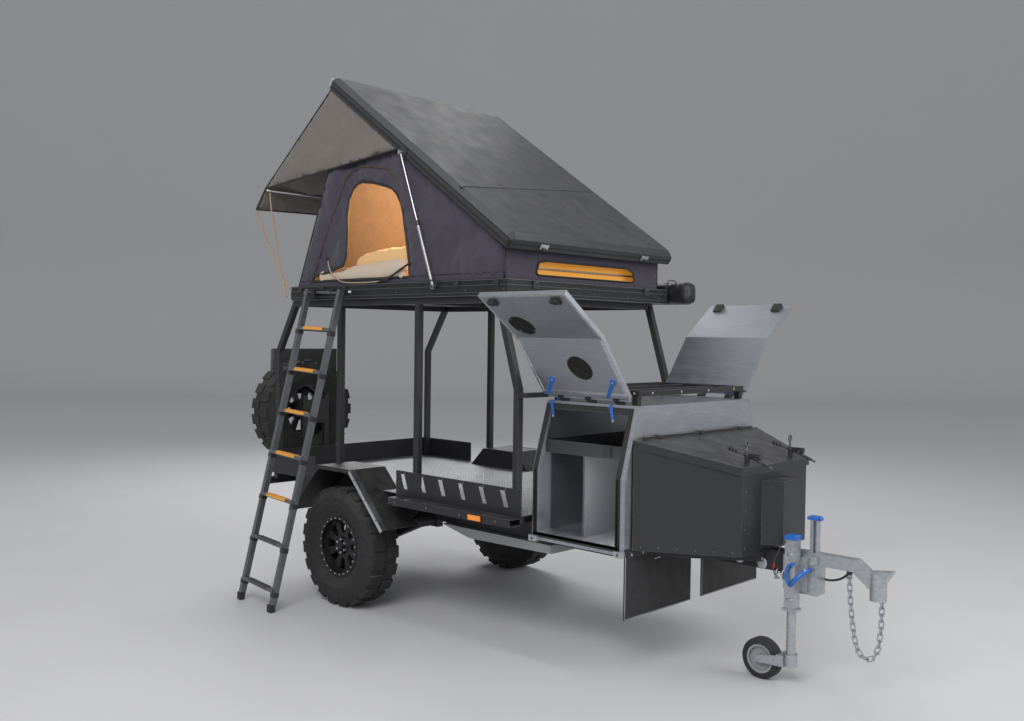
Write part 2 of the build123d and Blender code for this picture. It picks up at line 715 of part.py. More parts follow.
def toolbox():
    """Open-topped toolbox body with the ears of its lid's hinge."""
    full = prism_z(box_plan(0), BOX_BOTTOM, BOX_REAR_TOP + 50)
    inner = prism_z([
        (BOX_REAR + BOX_WALL, -BOX_REAR_HALF_W + BOX_WALL),
        (BOX_FRONT - BOX_WALL, -BOX_FRONT_HALF_W + BOX_WALL),
        (BOX_FRONT - BOX_WALL, BOX_FRONT_HALF_W - BOX_WALL),
        (BOX_REAR + BOX_WALL, BOX_REAR_HALF_W - BOX_WALL),
    ], BOX_BOTTOM + BOX_WALL, BOX_REAR_TOP + 60)
    body = (full - inner) & prism_y(box_slope(0, 800), -800, 800)
    pin = rod((LID_HINGE_X, -560, LID_HINGE_Z), (LID_HINGE_X, 560, LID_HINGE_Z), 5 + RUNNING_GAP)
    for y in LID_EARS:
        body += block(BOX_REAR, LID_HINGE_X + 9, y - 14, y + 14, BOX_REAR_TOP - 20, LID_HINGE_Z + 9)
    return body - pin


def toolbox_lid():
    """Lid with a turned-down skirt and its hinge rod."""
    grow = MOVING_GAP + LID_T
    full = prism_z(box_plan(grow), BOX_FRONT_TOP - 150, BOX_REAR_TOP + 100)
    inner = prism_z(box_plan(MOVING_GAP), BOX_FRONT_TOP - 151, BOX_REAR_TOP + 101)
    top = full & prism_y(box_slope(grow, LID_T), -800, 800)
    skirt = (full - inner) & prism_y(box_slope(grow, LID_SKIRT), -800, 800)
    rear = block(BOX_REAR - 60, BOX_REAR + 30, -700, 700, BOX_REAR_TOP - 60, BOX_REAR_TOP - 8)
    lid = (top + skirt) - rear
    lid += block(LID_HINGE_X - 4, LID_HINGE_X + 4, -560, 560, BOX_REAR_TOP + 5, LID_HINGE_Z)
    for y in LID_EARS:
        lid -= block(BOX_REAR - 1, LID_HINGE_X + 16, y - 20, y + 20, BOX_REAR_TOP - 9,
                     LID_HINGE_Z + 9)
    return lid + rod((LID_HINGE_X, -560, LID_HINGE_Z), (LID_HINGE_X, 560, LID_HINGE_Z), 5)


def lid_latches():
    """T-handle latches on the front of the lid."""
    x = BOX_FRONT - 40
    z = BOX_FRONT_TOP + MOVING_GAP + LID_T
    pieces = []
    for y in (-235.0, 235.0):
        pieces.append(rod((x, y, z - 10), (x, y, z + 55), 14))
        pieces.append(block(x - 14, x + 80, y - 11, y + 11, z + 46, z + 64))
    below = prism_y(box_slope(MOVING_GAP + LID_T, 300), -800, 800)
    return (Part() + pieces) - below


def lock_box():
    """Small box on the front of the toolbox."""
    return prism_z([(BOX_FRONT, -145), (BOX_FRONT + 95, -80), (BOX_FRONT + 95, 80),
                    (BOX_FRONT, 145)], BOX_BOTTOM + 40, 1075)


# ---------------------------------------------------------------- tent
def tent_tray():
    """Tray of the tent with its rear ledge and the fixed ends of its fittings."""
    z0 = TENT_BASE_Z
    z1 = z0 + TENT_BASE_H
    floor = z0 + TENT_FLOOR_T
    inner_y = TENT_HALF_W - TRAY_EDGE
    tray = block(TENT_REAR, TENT_FRONT, -TENT_HALF_W, TENT_HALF_W, z0, z1)
    tray -= block(TENT_REAR + TRAY_EDGE, TENT_FRONT - TRAY_EDGE, -inner_y, inner_y, floor, z1 + 1)
    for z in (z0 + 5, z0 + 78, z0 + 89):
        groove = block(TENT_REAR - 1, TENT_FRONT + 1, -TENT_HALF_W - 1, TENT_HALF_W + 1, z, z + 6)
        tray -= groove - block(TENT_REAR + 5, TENT_FRONT - 5, 5 - TENT_HALF_W, TENT_HALF_W - 5,
                               z - 1, z + 7)
    tray += block(TENT_REAR + TRAY_EDGE, TENT_REAR + LEDGE_W, -inner_y, inner_y, z1 - LEDGE_T, z1)
    y = -RISER_LOWER_Y - RISER_T / 2 - MOVING_GAP
    ends = block(RISER_X - 16, RISER_X + 16, y - RISER_T, y, floor, RISER_FOOT_Z + 14)
    ends += rod((RISER_X, y, RISER_FOOT_Z), (RISER_X, y + 16, RISER_FOOT_Z), FOOT_PIN_R)
    x, z = STRUT_FOOT
    ends += rod((x, -TENT_HALF_W, z), (x, -STRUT_Y - 13, z), STRUT_PIN_R)
    tray += [ends, mirrored(ends)]
    for x in BAG_HOLDERS:
        tray += block(x - 25, x + 25, TENT_HALF_W, BAG_Y, z0 + 15, z0 + 75)
    return tray + ladder_brackets()


def mattress():
    """Foam mattress on the tray floor."""
    inset = TRAY_EDGE + 6
    z0 = TENT_BASE_Z + TENT_FLOOR_T + SEAT_GAP
    return block(TENT_REAR + inset, MATTRESS_FRONT, -TENT_HALF_W + inset, TENT_HALF_W - inset, z0,
                 z0 + MATTRESS_T)


def riser_knee():
    """Knee of the open riser, as (x, z)."""
    turn = math.radians(RISER_OPEN_DEG)
    return (RISER_X - RISER_LINK * math.cos(turn), RISER_FOOT_Z + RISER_LINK * math.sin(turn))


def roof_hinge_point():
    """Axis of the roof's front hinge with the tent open, as (x, z)."""
    return (RISER_X, 2 * riser_knee()[1] - RISER_FOOT_Z)


def riser_link(start, end, y):
    """Flat near-side bar with round ends between two (x, z) points."""
    x0, z0 = start
    x1, z1 = end
    bar = beam((x0, y, z0), (x1, y, z1), RISER_T, RISER_W)
    for x, z in (start, end):
        bar += rod((x, y - RISER_T / 2, z), (x, y + RISER_T / 2, z), RISER_W / 2)
    return bar


def riser_lower():
    """Lower links of the riser, joined by the knee bar."""
    x, z = riser_knee()
    link = riser_link((RISER_X, RISER_FOOT_Z), (x, z), -RISER_LOWER_Y)
    link -= rod((RISER_X, -700, RISER_FOOT_Z), (RISER_X, -600, RISER_FOOT_Z),
                FOOT_PIN_R + RUNNING_GAP)
    reach = RISER_LOWER_Y + RISER_T / 2
    return both_sides(link) + rod((x, -reach, z), (x, reach, z), KNEE_PIN_R)


def riser_upper():
    """Upper links of the riser, joined by the roof's hinge bar."""
    x, z = riser_knee()
    roof_x, roof_z = roof_hinge_point()
    link = riser_link((x, z), (roof_x, roof_z), -RISER_UPPER_Y)
    link -= rod((x, -700, z), (x, -600, z), KNEE_PIN_R + RUNNING_GAP)
    reach = RISER_UPPER_Y + RISER_T / 2
    return both_sides(link) + rod((roof_x, -reach, roof_z), (roof_x, reach, roof_z), ROOF_PIN_R)


def strut_point(distance):
    """Point of the near strut's centre line, measured from its foot."""
    x0, z0 = STRUT_FOOT
    x1, z1 = STRUT_HEAD
    part = distance / math.hypot(x1 - x0, z1 - z0)
    return (x0 + (x1 - x0) * part, -STRUT_Y, z0 + (z1 - z0) * part)


def strut_tube():
    """Near gas strut's tube, with the eye at its foot."""
    x, z = STRUT_FOOT
    tube = rod(strut_point(0), strut_point(STRUT_TUBE), STRUT_TUBE_R)
    tube += rod((x, -STRUT_Y - 10, z), (x, -STRUT_Y + 10, z), STRUT_EYE_R)
    tube -= rod(strut_point(28), strut_point(STRUT_TUBE + 1), STRUT_ROD_R + RUNNING_GAP)
    return tube - rod((x, -STRUT_Y - 20, z), (x, -STRUT_Y + 20, z), STRUT_PIN_R + RUNNING_GAP)


def strut_rod():
    """Near gas strut's rod, with the pin that meets the roof's bracket."""
    x, z = STRUT_HEAD
    length = math.hypot(STRUT_HEAD[0] - STRUT_FOOT[0], STRUT_HEAD[1] - STRUT_FOOT[1])
    bar = rod(strut_point(STRUT_TUBE - STRUT_OVERLAP), strut_point(length), STRUT_ROD_R)
    bar += rod((x, -STRUT_Y - 12, z), (x, -STRUT_Y + 12, z), STRUT_EYE_R - 2)
    return bar + rod((x, -STRUT_Y, z), (x, -ROOF_HALF_W - MOVING_GAP - SEAT_GAP, z), STRUT_PIN_R)


def roof_shell():
    """Hollow roof shell, built level and then opened about its hinge."""
    x, z = roof_hinge_point()
    x1 = x + ROOF_REACH
    x0 = x1 - ROOF_LENGTH
    z0 = z + ROOF_SEAT
    z1 = z0 + ROOF_H
    bevel = 34.0
    half = ROOF_HALF_W
    shell = prism_y([(x0, z0), (x0, z1 - bevel), (x0 + bevel, z1), (x1 - bevel, z1),
                     (x1, z1 - bevel), (x1, z0)], -half, half)
    shell &= prism_x([(-half, z0), (-half, z1 - bevel), (-half + bevel, z1),
                      (half - bevel, z1), (half, z1 - bevel), (half, z0)], x0, x1)
    groove = block(x0 - 1, x1 + 1, -half - 1, half + 1, z0 + 22, z0 + 31)
    shell -= groove - block(x0 + 5, x1 - 5, 5 - half, half - 5, z0 + 21, z0 + 32)
    ceiling = z1 - ROOF_TOP_T
    shell -= block(x0 + ROOF_EDGE, x1 - ROOF_EDGE, -half + ROOF_EDGE, half - ROOF_EDGE, z0 - 1,
                   ceiling)
    for y in ROOF_KNUCKLES:
        knuckle = block(x - 14, x + 14, y - 20, y + 20, z - 14, ceiling)
        knuckle -= rod((x, y - 21, z), (x, y + 21, z), ROOF_PIN_R + RUNNING_GAP)
        shell += [knuckle, mirrored(knuckle)]
    shell = turned_y(shell, x, z, ROOF_OPEN_DEG)
    # bracket plates that the gas struts push on
    hx, hz = STRUT_HEAD
    bracket = turned_y(block(hx - 30, hx + 30, -half - MOVING_GAP, -half, hz - 22, hz + 40), hx, hz,
                       ROOF_OPEN_DEG)
    return shell + [bracket, mirrored(bracket)]


def canvas_side(y0, y1, inset, rise):
    """Wedge outline of the tent wall, between two planes along Y."""
    z0 = TENT_BASE_Z + TENT_BASE_H + SEAT_GAP
    hinge_x, hinge_z = roof_hinge_point()
    turn = math.radians(ROOF_OPEN_DEG)
    pitch = math.tan(turn)
    front_x = TENT_FRONT - 60 - inset
    rear_x = TENT_REAR + 50 + inset
    under = hinge_z + rise / math.cos(turn)
    reach = under + (hinge_x - rear_x) * pitch - z0
    top_x = rear_x + CANVAS_LEAN * reach / (1 + CANVAS_LEAN * pitch)
    outline = [(rear_x, z0 + inset), (top_x, under + (hinge_x - top_x) * pitch),
               (front_x, under + (hinge_x - front_x) * pitch), (front_x, z0 + inset)]
    return prism_y(outline, y0, y1)


def canvas():
    """Tent wall fabric, standing on the tray, with its door and window openings."""
    inner = CANVAS_HALF_W - CANVAS_T
    shell = canvas_side(-CANVAS_HALF_W, CANVAS_HALF_W, 0, 44)
    shell -= canvas_side(-inner, inner, CANVAS_T, 60)
    z0 = TENT_BASE_Z + TENT_BASE_H + SEAT_GAP
    shell -= block(TENT_REAR + 60, TENT_FRONT - 70, -inner, inner, z0 - 1, z0 + CANVAS_T + 1)
    door_way = prism_y([(-120, z0 + 70), (-120, 2640), (-40, 2840), (300, 2810), (420, 2740),
                        (530, 2350), (530, z0 + 70)], -CANVAS_HALF_W - 1, CANVAS_HALF_W + 1)
    window = block(TENT_FRONT - 100, TENT_FRONT + 1, -470, 470, z0 + 30, z0 + 125)
    shell -= [door_way, window]
    # room for the roof's knuckles
    z = roof_hinge_point()[1]
    for y in ROOF_KNUCKLES:
        slot = block(RISER_X, TENT_FRONT, y - 24, y + 24, z - 16, z + 120)
        shell -= [slot, mirrored(slot)]
    return shell


def canopy():
    """Fabric awning that reaches rearwards from the roof's high edge."""
    start = (-270.0, 3517.3)
    bend = (-1090.0, 2908.0)
    hem = (-1215.0, 2764.0)
    cloth = prism_y(strip([start, bend, hem], 2, 2), -CANOPY_HALF_W, CANOPY_HALF_W)
    gusset = prism_y([start, bend, (450, 3022.6)], -CANOPY_HALF_W, -CANOPY_HALF_W + 4)
    return cloth + [gusset, mirrored(gusset)]


def guy_ropes():
    """Taut ropes from the canopy's corners to the rear of the tray."""
    line = [(-1215.3, -780, 2759.1), (-839, -794, 2222), (-752, -794, 2150)]
    ropes = []
    for start, end in zip(line, line[1:]):
        ropes.append(rod(start, end, 4))
    return both_sides(Part() + ropes)


def awning_bag():
    """Rolled awning in its cover along the far side of the tray."""
    y0 = BAG_Y + SEAT_GAP
    z0 = TENT_BASE_Z - 4
    return prism_x([(y0, z0), (y0, z0 + BAG_H), (y0 + BAG_W * 0.8, z0 + BAG_H * 1.03),
                    (y0 + BAG_W, z0 + BAG_H * 0.8), (y0 + BAG_W, z0 + 20), (y0 + BAG_W * 0.6, z0)],
                   BAG_REAR, BAG_FRONT)


# ---------------------------------------------------------------- ladder
def ladder_frame():
    """Plane of the ladder: origin at its top pin, X along the rungs, Z up the rails."""
    top = Vector(*LADDER_TOP)
    up = (top - Vector(*LADDER_FOOT)).normalized()
    yaw = math.radians(LADDER_YAW)
    across = Vector(math.cos(yaw), math.sin(yaw), 0)
    return Plane(origin=top, x_dir=across - up * across.dot(up), z_dir=up)


def ladder():
    """Leaning ladder with rungs; its top pin lies in brackets on the tray."""
    half = LADDER_W / 2
    length = (Vector(*LADDER_TOP) - Vector(*LADDER_FOOT)).length
    rail = LADDER_RAIL / 2
    pieces = [rod((-half, 0, 0), (half, 0, 0), LADDER_PIN_R)]
    for x in (-half, half):
        pieces.append(block(x - rail, x + rail, -rail, rail, -length - 60, 20))
    for i in range(RUNG_COUNT):
        z = (RUNG_FIRST + RUNG_PITCH * i) / LADDER_TOP[2] * length - length
        pieces.append(block(-half, half, -26, 14, z - 12, z + 12))
    body = ladder_frame() * (Part() + pieces)
    return body - block(-1000, 500, -1700, -1000, -120, 0)


def ladder_brackets():
    """Bored blocks on the tray's near side."""
    frame = ladder_frame()
    blocks = []
    for distance in LADDER_BRACKETS:
        x = LADDER_TOP[0] + distance
        blocks.append(block(x - 16, x + 16, LADDER_TOP[1] - 18, -TENT_HALF_W, LADDER_TOP[2] - 20,
                            LADDER_TOP[2] + 20))
    half = LADDER_W / 2
    return (Part() + blocks) - frame * rod((-half, 0, 0), (half, 0, 0), LADDER_PIN_R + RUNNING_GAP)


# ---------------------------------------------------------------- rear
def rear_carrier():
    """Frame behind the bed that carries the spare wheel."""
    x = CARRIER_X
    frame = block(x - 20, x + 20, 10 - BED_HALF_W, BED_HALF_W - 10, 690, 740)
    frame += block(x - 20, x + 20, SPARE_Y - 120, SPARE_Y - 80, 740, SPARE_Z + 120)
    frame += block(x - 20, x + 20, SPARE_Y + 80, SPARE_Y + 120, 740, SPARE_Z + 120)
    frame += block(x - 20, x + 20, SPARE_Y - 120, SPARE_Y + 120, SPARE_Z - 90, SPARE_Z + 90)
    for y in (-RAIL_Y, RAIL_Y):
        frame += block(x - 20, CHASSIS_REAR, y - 25, y + 25, 600, 740)
    frame += rod((x, SPARE_Y, SPARE_Z), (SPARE_X - 66, SPARE_Y, SPARE_Z), 30)
    for x0, x1 in ((x, SPARE_X - 22), (SPARE_X - 53.1, SPARE_X - 66)):
        frame += rod((x0, SPARE_Y, SPARE_Z), (x1, SPARE_Y, SPARE_Z), 75)
    return frame


def rear_lamps():
    """Lamp cluster on each end of the rear frame."""
    lamp = block(CARRIER_X - 34, CARRIER_X - 20, 30 - BED_HALF_W, 170 - BED_HALF_W, 695, 735)
    return both_sides(lamp)


def wheel_bag():
    """Canvas bin bag strapped to the back of the spare wheel."""
    x1 = SPARE_X - TYRE_W / 2 - SEAT_GAP
    return prism_y([(x1 - 165, 1380), (x1 - 180, 1690), (x1, 1725), (x1, 1340)],
                   SPARE_Y - 170, SPARE_Y + 430)


# ---------------------------------------------------------------- drawbar end
def jockey_housing():
    """Square outer tube of the jockey wheel, clamped to the drawbar."""
    half = JOCKEY_TUBE / 2
    bore = JOCKEY_R + RUNNING_GAP
    tube = block(JOCKEY_X - half, JOCKEY_X + half, JOCKEY_Y - half, JOCKEY_Y + half, 410, 776)
    tube -= rod((JOCKEY_X, JOCKEY_Y, 400), (JOCKEY_X, JOCKEY_Y, 765), bore)
    collar = block(JOCKEY_X - half - 8, JOCKEY_X + half + 8, JOCKEY_Y - half - 8,
                   JOCKEY_Y + half + 8, 398, 412)
    collar -= rod((JOCKEY_X, JOCKEY_Y, 390), (JOCKEY_X, JOCKEY_Y, 420), bore)
    plate = block(JOCKEY_X - 70, JOCKEY_X + 70, JOCKEY_Y + half, -DRAWBAR_W / 2, 500, 680)
    return tube + collar + plate


def jockey_cap():
    """Moulded cap on top of the jockey wheel's tube."""
    half = JOCKEY_TUBE / 2 + 3
    cap = block(JOCKEY_X - half, JOCKEY_X + half, JOCKEY_Y - half, JOCKEY_Y + half, 776, 802)
    return chamfer(cap.edges().group_by(Axis.Z)[-1], 7)


def jockey_leg():
    """Inner tube that winds up and down."""
    return rod((JOCKEY_X, JOCKEY_Y, 168), (JOCKEY_X, JOCKEY_Y, 570), JOCKEY_R)


def jockey_fork():
    """Swivelling fork under the leg."""
    collar = rod((JOCKEY_X, JOCKEY_Y, 100), (JOCKEY_X, JOCKEY_Y, 167.7), 36)
    x = JOCKEY_X - JOCKEY_TRAIL
    half = JOCKEY_WHEEL_W / 2 + MOVING_GAP
    fork = block(JOCKEY_X - 60, JOCKEY_X - 20, JOCKEY_Y - half - 5, JOCKEY_Y + half + 5, 100, 160)
    cheek = prism_y([(JOCKEY_X - 25, 100), (JOCKEY_X - 25, 160), (x - 20, 130), (x - 20, 95)],
                    JOCKEY_Y - half - 5, JOCKEY_Y - half)
    other = Pos(0, JOCKEY_WHEEL_W + 2 * MOVING_GAP + 5, 0) * cheek
    tyre_room = rod((x, JOCKEY_Y - half, JOCKEY_WHEEL_R), (x, JOCKEY_Y + half, JOCKEY_WHEEL_R),
                    JOCKEY_WHEEL_R + MOVING_GAP)
    axle = rod((x, JOCKEY_Y - half - 9, JOCKEY_WHEEL_R), (x, JOCKEY_Y + half + 9, JOCKEY_WHEEL_R), 9)
    return (collar + fork) - tyre_room + cheek + other + axle


def jockey_wheel():
    """Solid-tyred jockey wheel."""
    x = JOCKEY_X - JOCKEY_TRAIL
    half = JOCKEY_WHEEL_W / 2
    bore = 9 + RUNNING_GAP
    tyre_ring = ring([(78, -half), (JOCKEY_WHEEL_R, -half + 12), (JOCKEY_WHEEL_R, half - 12),
                      (78, half)])
    disc = ring([(bore, -half), (26, -half), (26, -12), (66, -12), (66, -half + 4),
                 (78, -half + 4), (78, half - 4), (66, half - 4), (66, 12), (26, 12),
                 (26, half), (bore, half)])
    place = Pos(x, JOCKEY_Y, JOCKEY_WHEEL_R)
    return place * tyre_ring, place * disc


def hand_brake():
    """Park brake lever on top of the drawbar, and its moulded grip."""
    x = BRAKE_X
    lever = block(x - 8, x + 10, -28, -16, ARM_TOP, 880)
    lever += block(x - 8, x + 10, 8, 20, ARM_TOP, 880)
    grip = block(x - 24, x + 34, -32, 24, 880, 900)
    return lever, chamfer(grip.edges().group_by(Axis.Z)[-1], 6)


def coupling():
    """Cranked drawbar end and coupling head with its receiver bore."""
    line = [(DRAWBAR_FRONT, ARM_TOP), (COUPLING_X - 105, ARM_TOP), (COUPLING_X + 10, 615)]
    body = prism_y(strip(line, 0, COUPLING_ARM_H), -30, 30)
    body += block(DRAWBAR_FRONT, DRAWBAR_FRONT + 170, -DRAWBAR_W / 2, DRAWBAR_W / 2,
                  RAIL_TOP - 205, RAIL_TOP)
    body += rod((COUPLING_X, 0, COUPLING_BOTTOM), (COUPLING_X, 0, 655), 42)
    body += prism_y([(COUPLING_X - 50, 640), (COUPLING_X - 50, 656), (COUPLING_X + 72, 674),
                     (COUPLING_X + 72, 664), (COUPLING_X + 30, 600)], -34, 34)
    # lugs beside the arm and the head, which carry the ends of the safety chain
    start, end = chain_points()[0], chain_points()[-1]
    for (x, z), top in ((start, ARM_TOP - 10), (end, COUPLING_BORE_TOP)):
        lug = block(x - 15, x + 15, CHAIN_Y - 5, CHAIN_Y + 5, z - 8, top)
        lug -= rod((x, CHAIN_Y - 6, z + 6), (x, CHAIN_Y + 6, z + 6), 8.5)
        body += lug + block(x - 15, x + 15, 29, CHAIN_Y, top - 30, top)
    return body - rod((COUPLING_X, 0, COUPLING_BOTTOM - 1), (COUPLING_X, 0, COUPLING_BORE_TOP),
                      COUPLING_BORE_R)


def chain_points():
    """Joints of the hanging chain, one pitch apart, as (x, z)."""
    line = [(3150, 590), (3160, 450), (3170, 370), (3182, 290), (3200, 226), (3228, 190),
            (3264, 182), (3296, 206), (3314, 256), (3325, 360), (3329, 640)]
    points = [line[0]]
    leg = 0
    while len(points) <= LINK_COUNT:
        x, z = points[-1]
        while math.dist((x, z), line[leg + 1]) < LINK_PITCH:
            leg += 1
        # the next joint lies on this leg, one pitch from the last joint
        (ax, az), (bx, bz) = line[leg], line[leg + 1]
        length = math.dist((ax, az), (bx, bz))
        ux, uz = (bx - ax) / length, (bz - az) / length
        along = (x - ax) * ux + (z - az) * uz
        off = (x - ax) * uz - (z - az) * ux
        along += math.sqrt(LINK_PITCH**2 - off**2)
        points.append((ax + ux * along, az + uz * along))
    return points


def chain_link():
    """One link along X, flat in the XY plane."""
    half = LINK_INNER / 2
    side = LINK_W / 2
    inner = [(half, side - 3), (half - 4, side), (4 - half, side), (-half, side - 3),
             (-half, 3 - side), (4 - half, -side), (half - 4, -side), (half, 3 - side)]
    wire = LINK_WIRE
    outer = [(x + math.copysign(wire, x), y + math.copysign(wire, y)) for x, y in inner]
    for i in (0, 3, 4, 7):
        outer[i] = (outer[i][0], inner[i][1])
    ring_face = prism_z(outer, -wire / 2, wire / 2)
    return ring_face - prism_z(inner, -wire, wire)


def safety_chain():
    """Chain that hangs below the coupling; every second link stands upright."""
    points = chain_points()
    link = chain_link()
    links = []
    for i, ((x0, z0), (x1, z1)) in enumerate(zip(points, points[1:])):
        turn = math.degrees(math.atan2(z1 - z0, x1 - x0))
        roll = 90 * (i % 2)
        place = Pos((x0 + x1) / 2, CHAIN_Y, (z0 + z1) / 2) * Rot(0, -turn, 0) * Rot(roll, 0, 0)
        links.append(place * link)
    return Part() + links


def stone_flaps():
    """Rubber flaps fixed to the cabinet's front edge, cut out round the frame's braces."""
    x0 = CAB_FRONT
    x1 = CAB_FRONT + 6
    flap = block(x0, x1, -CAB_HALF_W, -DRAWBAR_W / 2 - 6, 320, RAIL_TOP + 10)
    flap -= block(x0 - 1, x1 + 1, -415, -315, RAIL_TOP - 78, RAIL_TOP - 2)
    return both_sides(flap)


# ---------------------------------------------------------------- assembly
parts = {}
for name, side in SIDES:
    place = Pos(0, side * WHEEL_Y, TYRE_R)
    flip = Rot(0, 0, 180) if side > 0 else Rot(0, 0, 0)
    parts[f"tyre_{name}"] = place * flip * tyre()
    parts[f"rim_{name}"] = place * flip * rim()
    parts[f"hub_{name}"] = place * flip * hub()
spare_place = Pos(SPARE_X, SPARE_Y, SPARE_Z) * Rot(0, 0, -90)
parts["spare_tyre"] = spare_place * tyre()
parts["spare_rim"] = spare_place * rim()
parts["chassis"] = chassis()
parts["suspension"] = suspension()
parts["water_tank"] = water_tank()
parts["deck"] = deck()
parts["side_panels"] = side_panels()
parts["wheel_guards"] = wheel_guards()
parts["guard_trim"] = guard_trim()
parts["sliders"] = sliders()
parts["marker_lamps"] = marker_lamps()
parts["cage"] = cage()
parts["cabinet"] = cabinet()
parts["cabinet_shelf"] = cabinet_inside()
parts["door_seals"] = door_seals()
parts["corner_blocks"] = corner_blocks()
parts["door_near"], parts["door_far"] = doors()
parts["door_latches_near"], parts["door_latches_far"] = door_latches()
parts["door_hinges"] = door_hinges()
parts["roof_rack"] = roof_rack()
parts["toolbox"] = toolbox()
parts["toolbox_lid"] = toolbox_lid()
parts["lid_latches"] = lid_latches()
parts["lock_box"] = lock_box()
parts["tent_tray"] = tent_tray()
parts["mattress"] = mattress()
parts["roof_shell"] = roof_shell()
parts["riser_lower"] = riser_lower()
parts["riser_upper"] = riser_upper()
parts["strut_tube_near"] = strut_tube()
parts["strut_tube_far"] = mirrored(strut_tube())
parts["strut_rod_near"] = strut_rod()
parts["strut_rod_far"] = mirrored(strut_rod())
parts["tent_canvas"] = canvas()
parts["tent_canopy"] = canopy()
parts["guy_ropes"] = guy_ropes()
parts["awning_bag"] = awning_bag()
parts["ladder"] = ladder()
parts["rear_carrier"] = rear_carrier()
parts["rear_lamps"] = rear_lamps()
parts["wheel_bag"] = wheel_bag()
parts["jockey_housing"] = jockey_housing()
parts["jockey_cap"] = jockey_cap()
parts["jockey_leg"] = jockey_leg()
parts["jockey_fork"] = jockey_fork()
parts["jockey_tyre"], parts["jockey_rim"] = jockey_wheel()
parts["hand_brake"], parts["brake_grip"] = hand_brake()
parts["coupling"] = coupling()
parts["safety_chain"] = safety_chain()
parts["stone_flaps"] = stone_flaps()

whole = Compound(children=[Compound(part.solids()) for part in parts.values()]).bounding_box()
shift = Pos(-whole.center().X, -whole.center().Y, -whole.min.Z)
os.makedirs("parts", exist_ok=True)
for name, part in parts.items():
    export_step(Compound(part.moved(shift).solids()), f"parts/{name}.step")
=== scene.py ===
import json
import math

import bmesh
import bpy
from mathutils import Matrix, Vector, noise
from mathutils.geometry import delaunay_2d_cdt


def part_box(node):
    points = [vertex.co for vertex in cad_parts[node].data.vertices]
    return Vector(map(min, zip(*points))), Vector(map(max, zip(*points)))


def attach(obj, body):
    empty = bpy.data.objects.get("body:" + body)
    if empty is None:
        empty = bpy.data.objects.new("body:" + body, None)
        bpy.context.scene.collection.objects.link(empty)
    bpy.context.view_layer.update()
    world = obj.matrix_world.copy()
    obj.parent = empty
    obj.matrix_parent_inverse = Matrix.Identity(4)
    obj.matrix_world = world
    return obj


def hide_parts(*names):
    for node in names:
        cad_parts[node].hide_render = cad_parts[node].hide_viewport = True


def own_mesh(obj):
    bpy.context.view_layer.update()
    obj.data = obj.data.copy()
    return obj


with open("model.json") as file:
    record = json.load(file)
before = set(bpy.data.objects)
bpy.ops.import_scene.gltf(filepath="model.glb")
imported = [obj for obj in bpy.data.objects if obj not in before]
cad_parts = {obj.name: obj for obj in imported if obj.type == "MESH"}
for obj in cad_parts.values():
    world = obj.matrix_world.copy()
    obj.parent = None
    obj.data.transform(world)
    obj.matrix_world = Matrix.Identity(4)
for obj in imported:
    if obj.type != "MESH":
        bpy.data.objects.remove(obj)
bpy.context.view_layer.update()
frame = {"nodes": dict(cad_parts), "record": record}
NODES = frame["nodes"]
TURN = 2 * math.pi
SIDES = (-1, 1)
NAMED_SIDES = ((-1, "near"), (1, "far"))

# Points below are metres from the ground under the axle, X forward and Y to the far side,
# and at() moves them into the row frame.
_near, _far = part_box("tyre_near"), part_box("tyre_far")
AXLE = Vector(((_near[0][0] + _near[1][0]) / 2, (_near[0][1] + _far[1][1]) / 2, 0.0))


def at(x, y, z):
    return Vector((x, y, z)) + AXLE


# ------------------------------------------------------------------ materials
M = {}     # every finish by its name


def add(tree, kind, values=None, **settings):
    """A shader node; a value that is a socket becomes a link."""
    item = tree.nodes.new(kind)
    for key, value in settings.items():
        setattr(item, key, value)
    for key, value in (values or {}).items():
        if isinstance(value, bpy.types.NodeSocket):
            tree.links.new(value, item.inputs[key])
        else:
            item.inputs[key].default_value = value
    return item


def rgb(colour, gain=1.0):
    return tuple(min(1.0, c * gain) for c in colour[:3]) + (1.0,)


def ramp(tree, fac, low, high, a=0.0, b=1.0):
    """Map a factor from low..high to a..b, clamped."""
    item = add(tree, "ShaderNodeMapRange", {"Value": fac, "From Min": low, "From Max": high,
                                            "To Min": a, "To Max": b})
    return item.outputs["Result"]


def mix(tree, fac, one, two):
    item = add(tree, "ShaderNodeMix", {"Factor": fac}, data_type="RGBA")
    for key, value in ((6, one), (7, two)):
        if isinstance(value, bpy.types.NodeSocket):
            tree.links.new(value, item.inputs[key])
        else:
            item.inputs[key].default_value = value
    return item.outputs[2]


def maths(tree, op, a, b=0.0):
    return add(tree, "ShaderNodeMath", {0: a, 1: b}, operation=op).outputs[0]


def layer(tree, height, pattern, depth):
    """Height with a pattern of a given depth laid over it."""
    return maths(tree, "ADD", height, maths(tree, "MULTIPLY", pattern, depth))


def noise_of(tree, vector, scale, detail=4.0, rough=0.55):
    return add(tree, "ShaderNodeTexNoise",
               {"Vector": vector, "Scale": scale, "Detail": detail,
                "Roughness": rough}).outputs["Fac"]


def stretched(tree, coords, scale):
    return add(tree, "ShaderNodeMapping", {"Vector": coords, "Scale": scale}).outputs["Vector"]


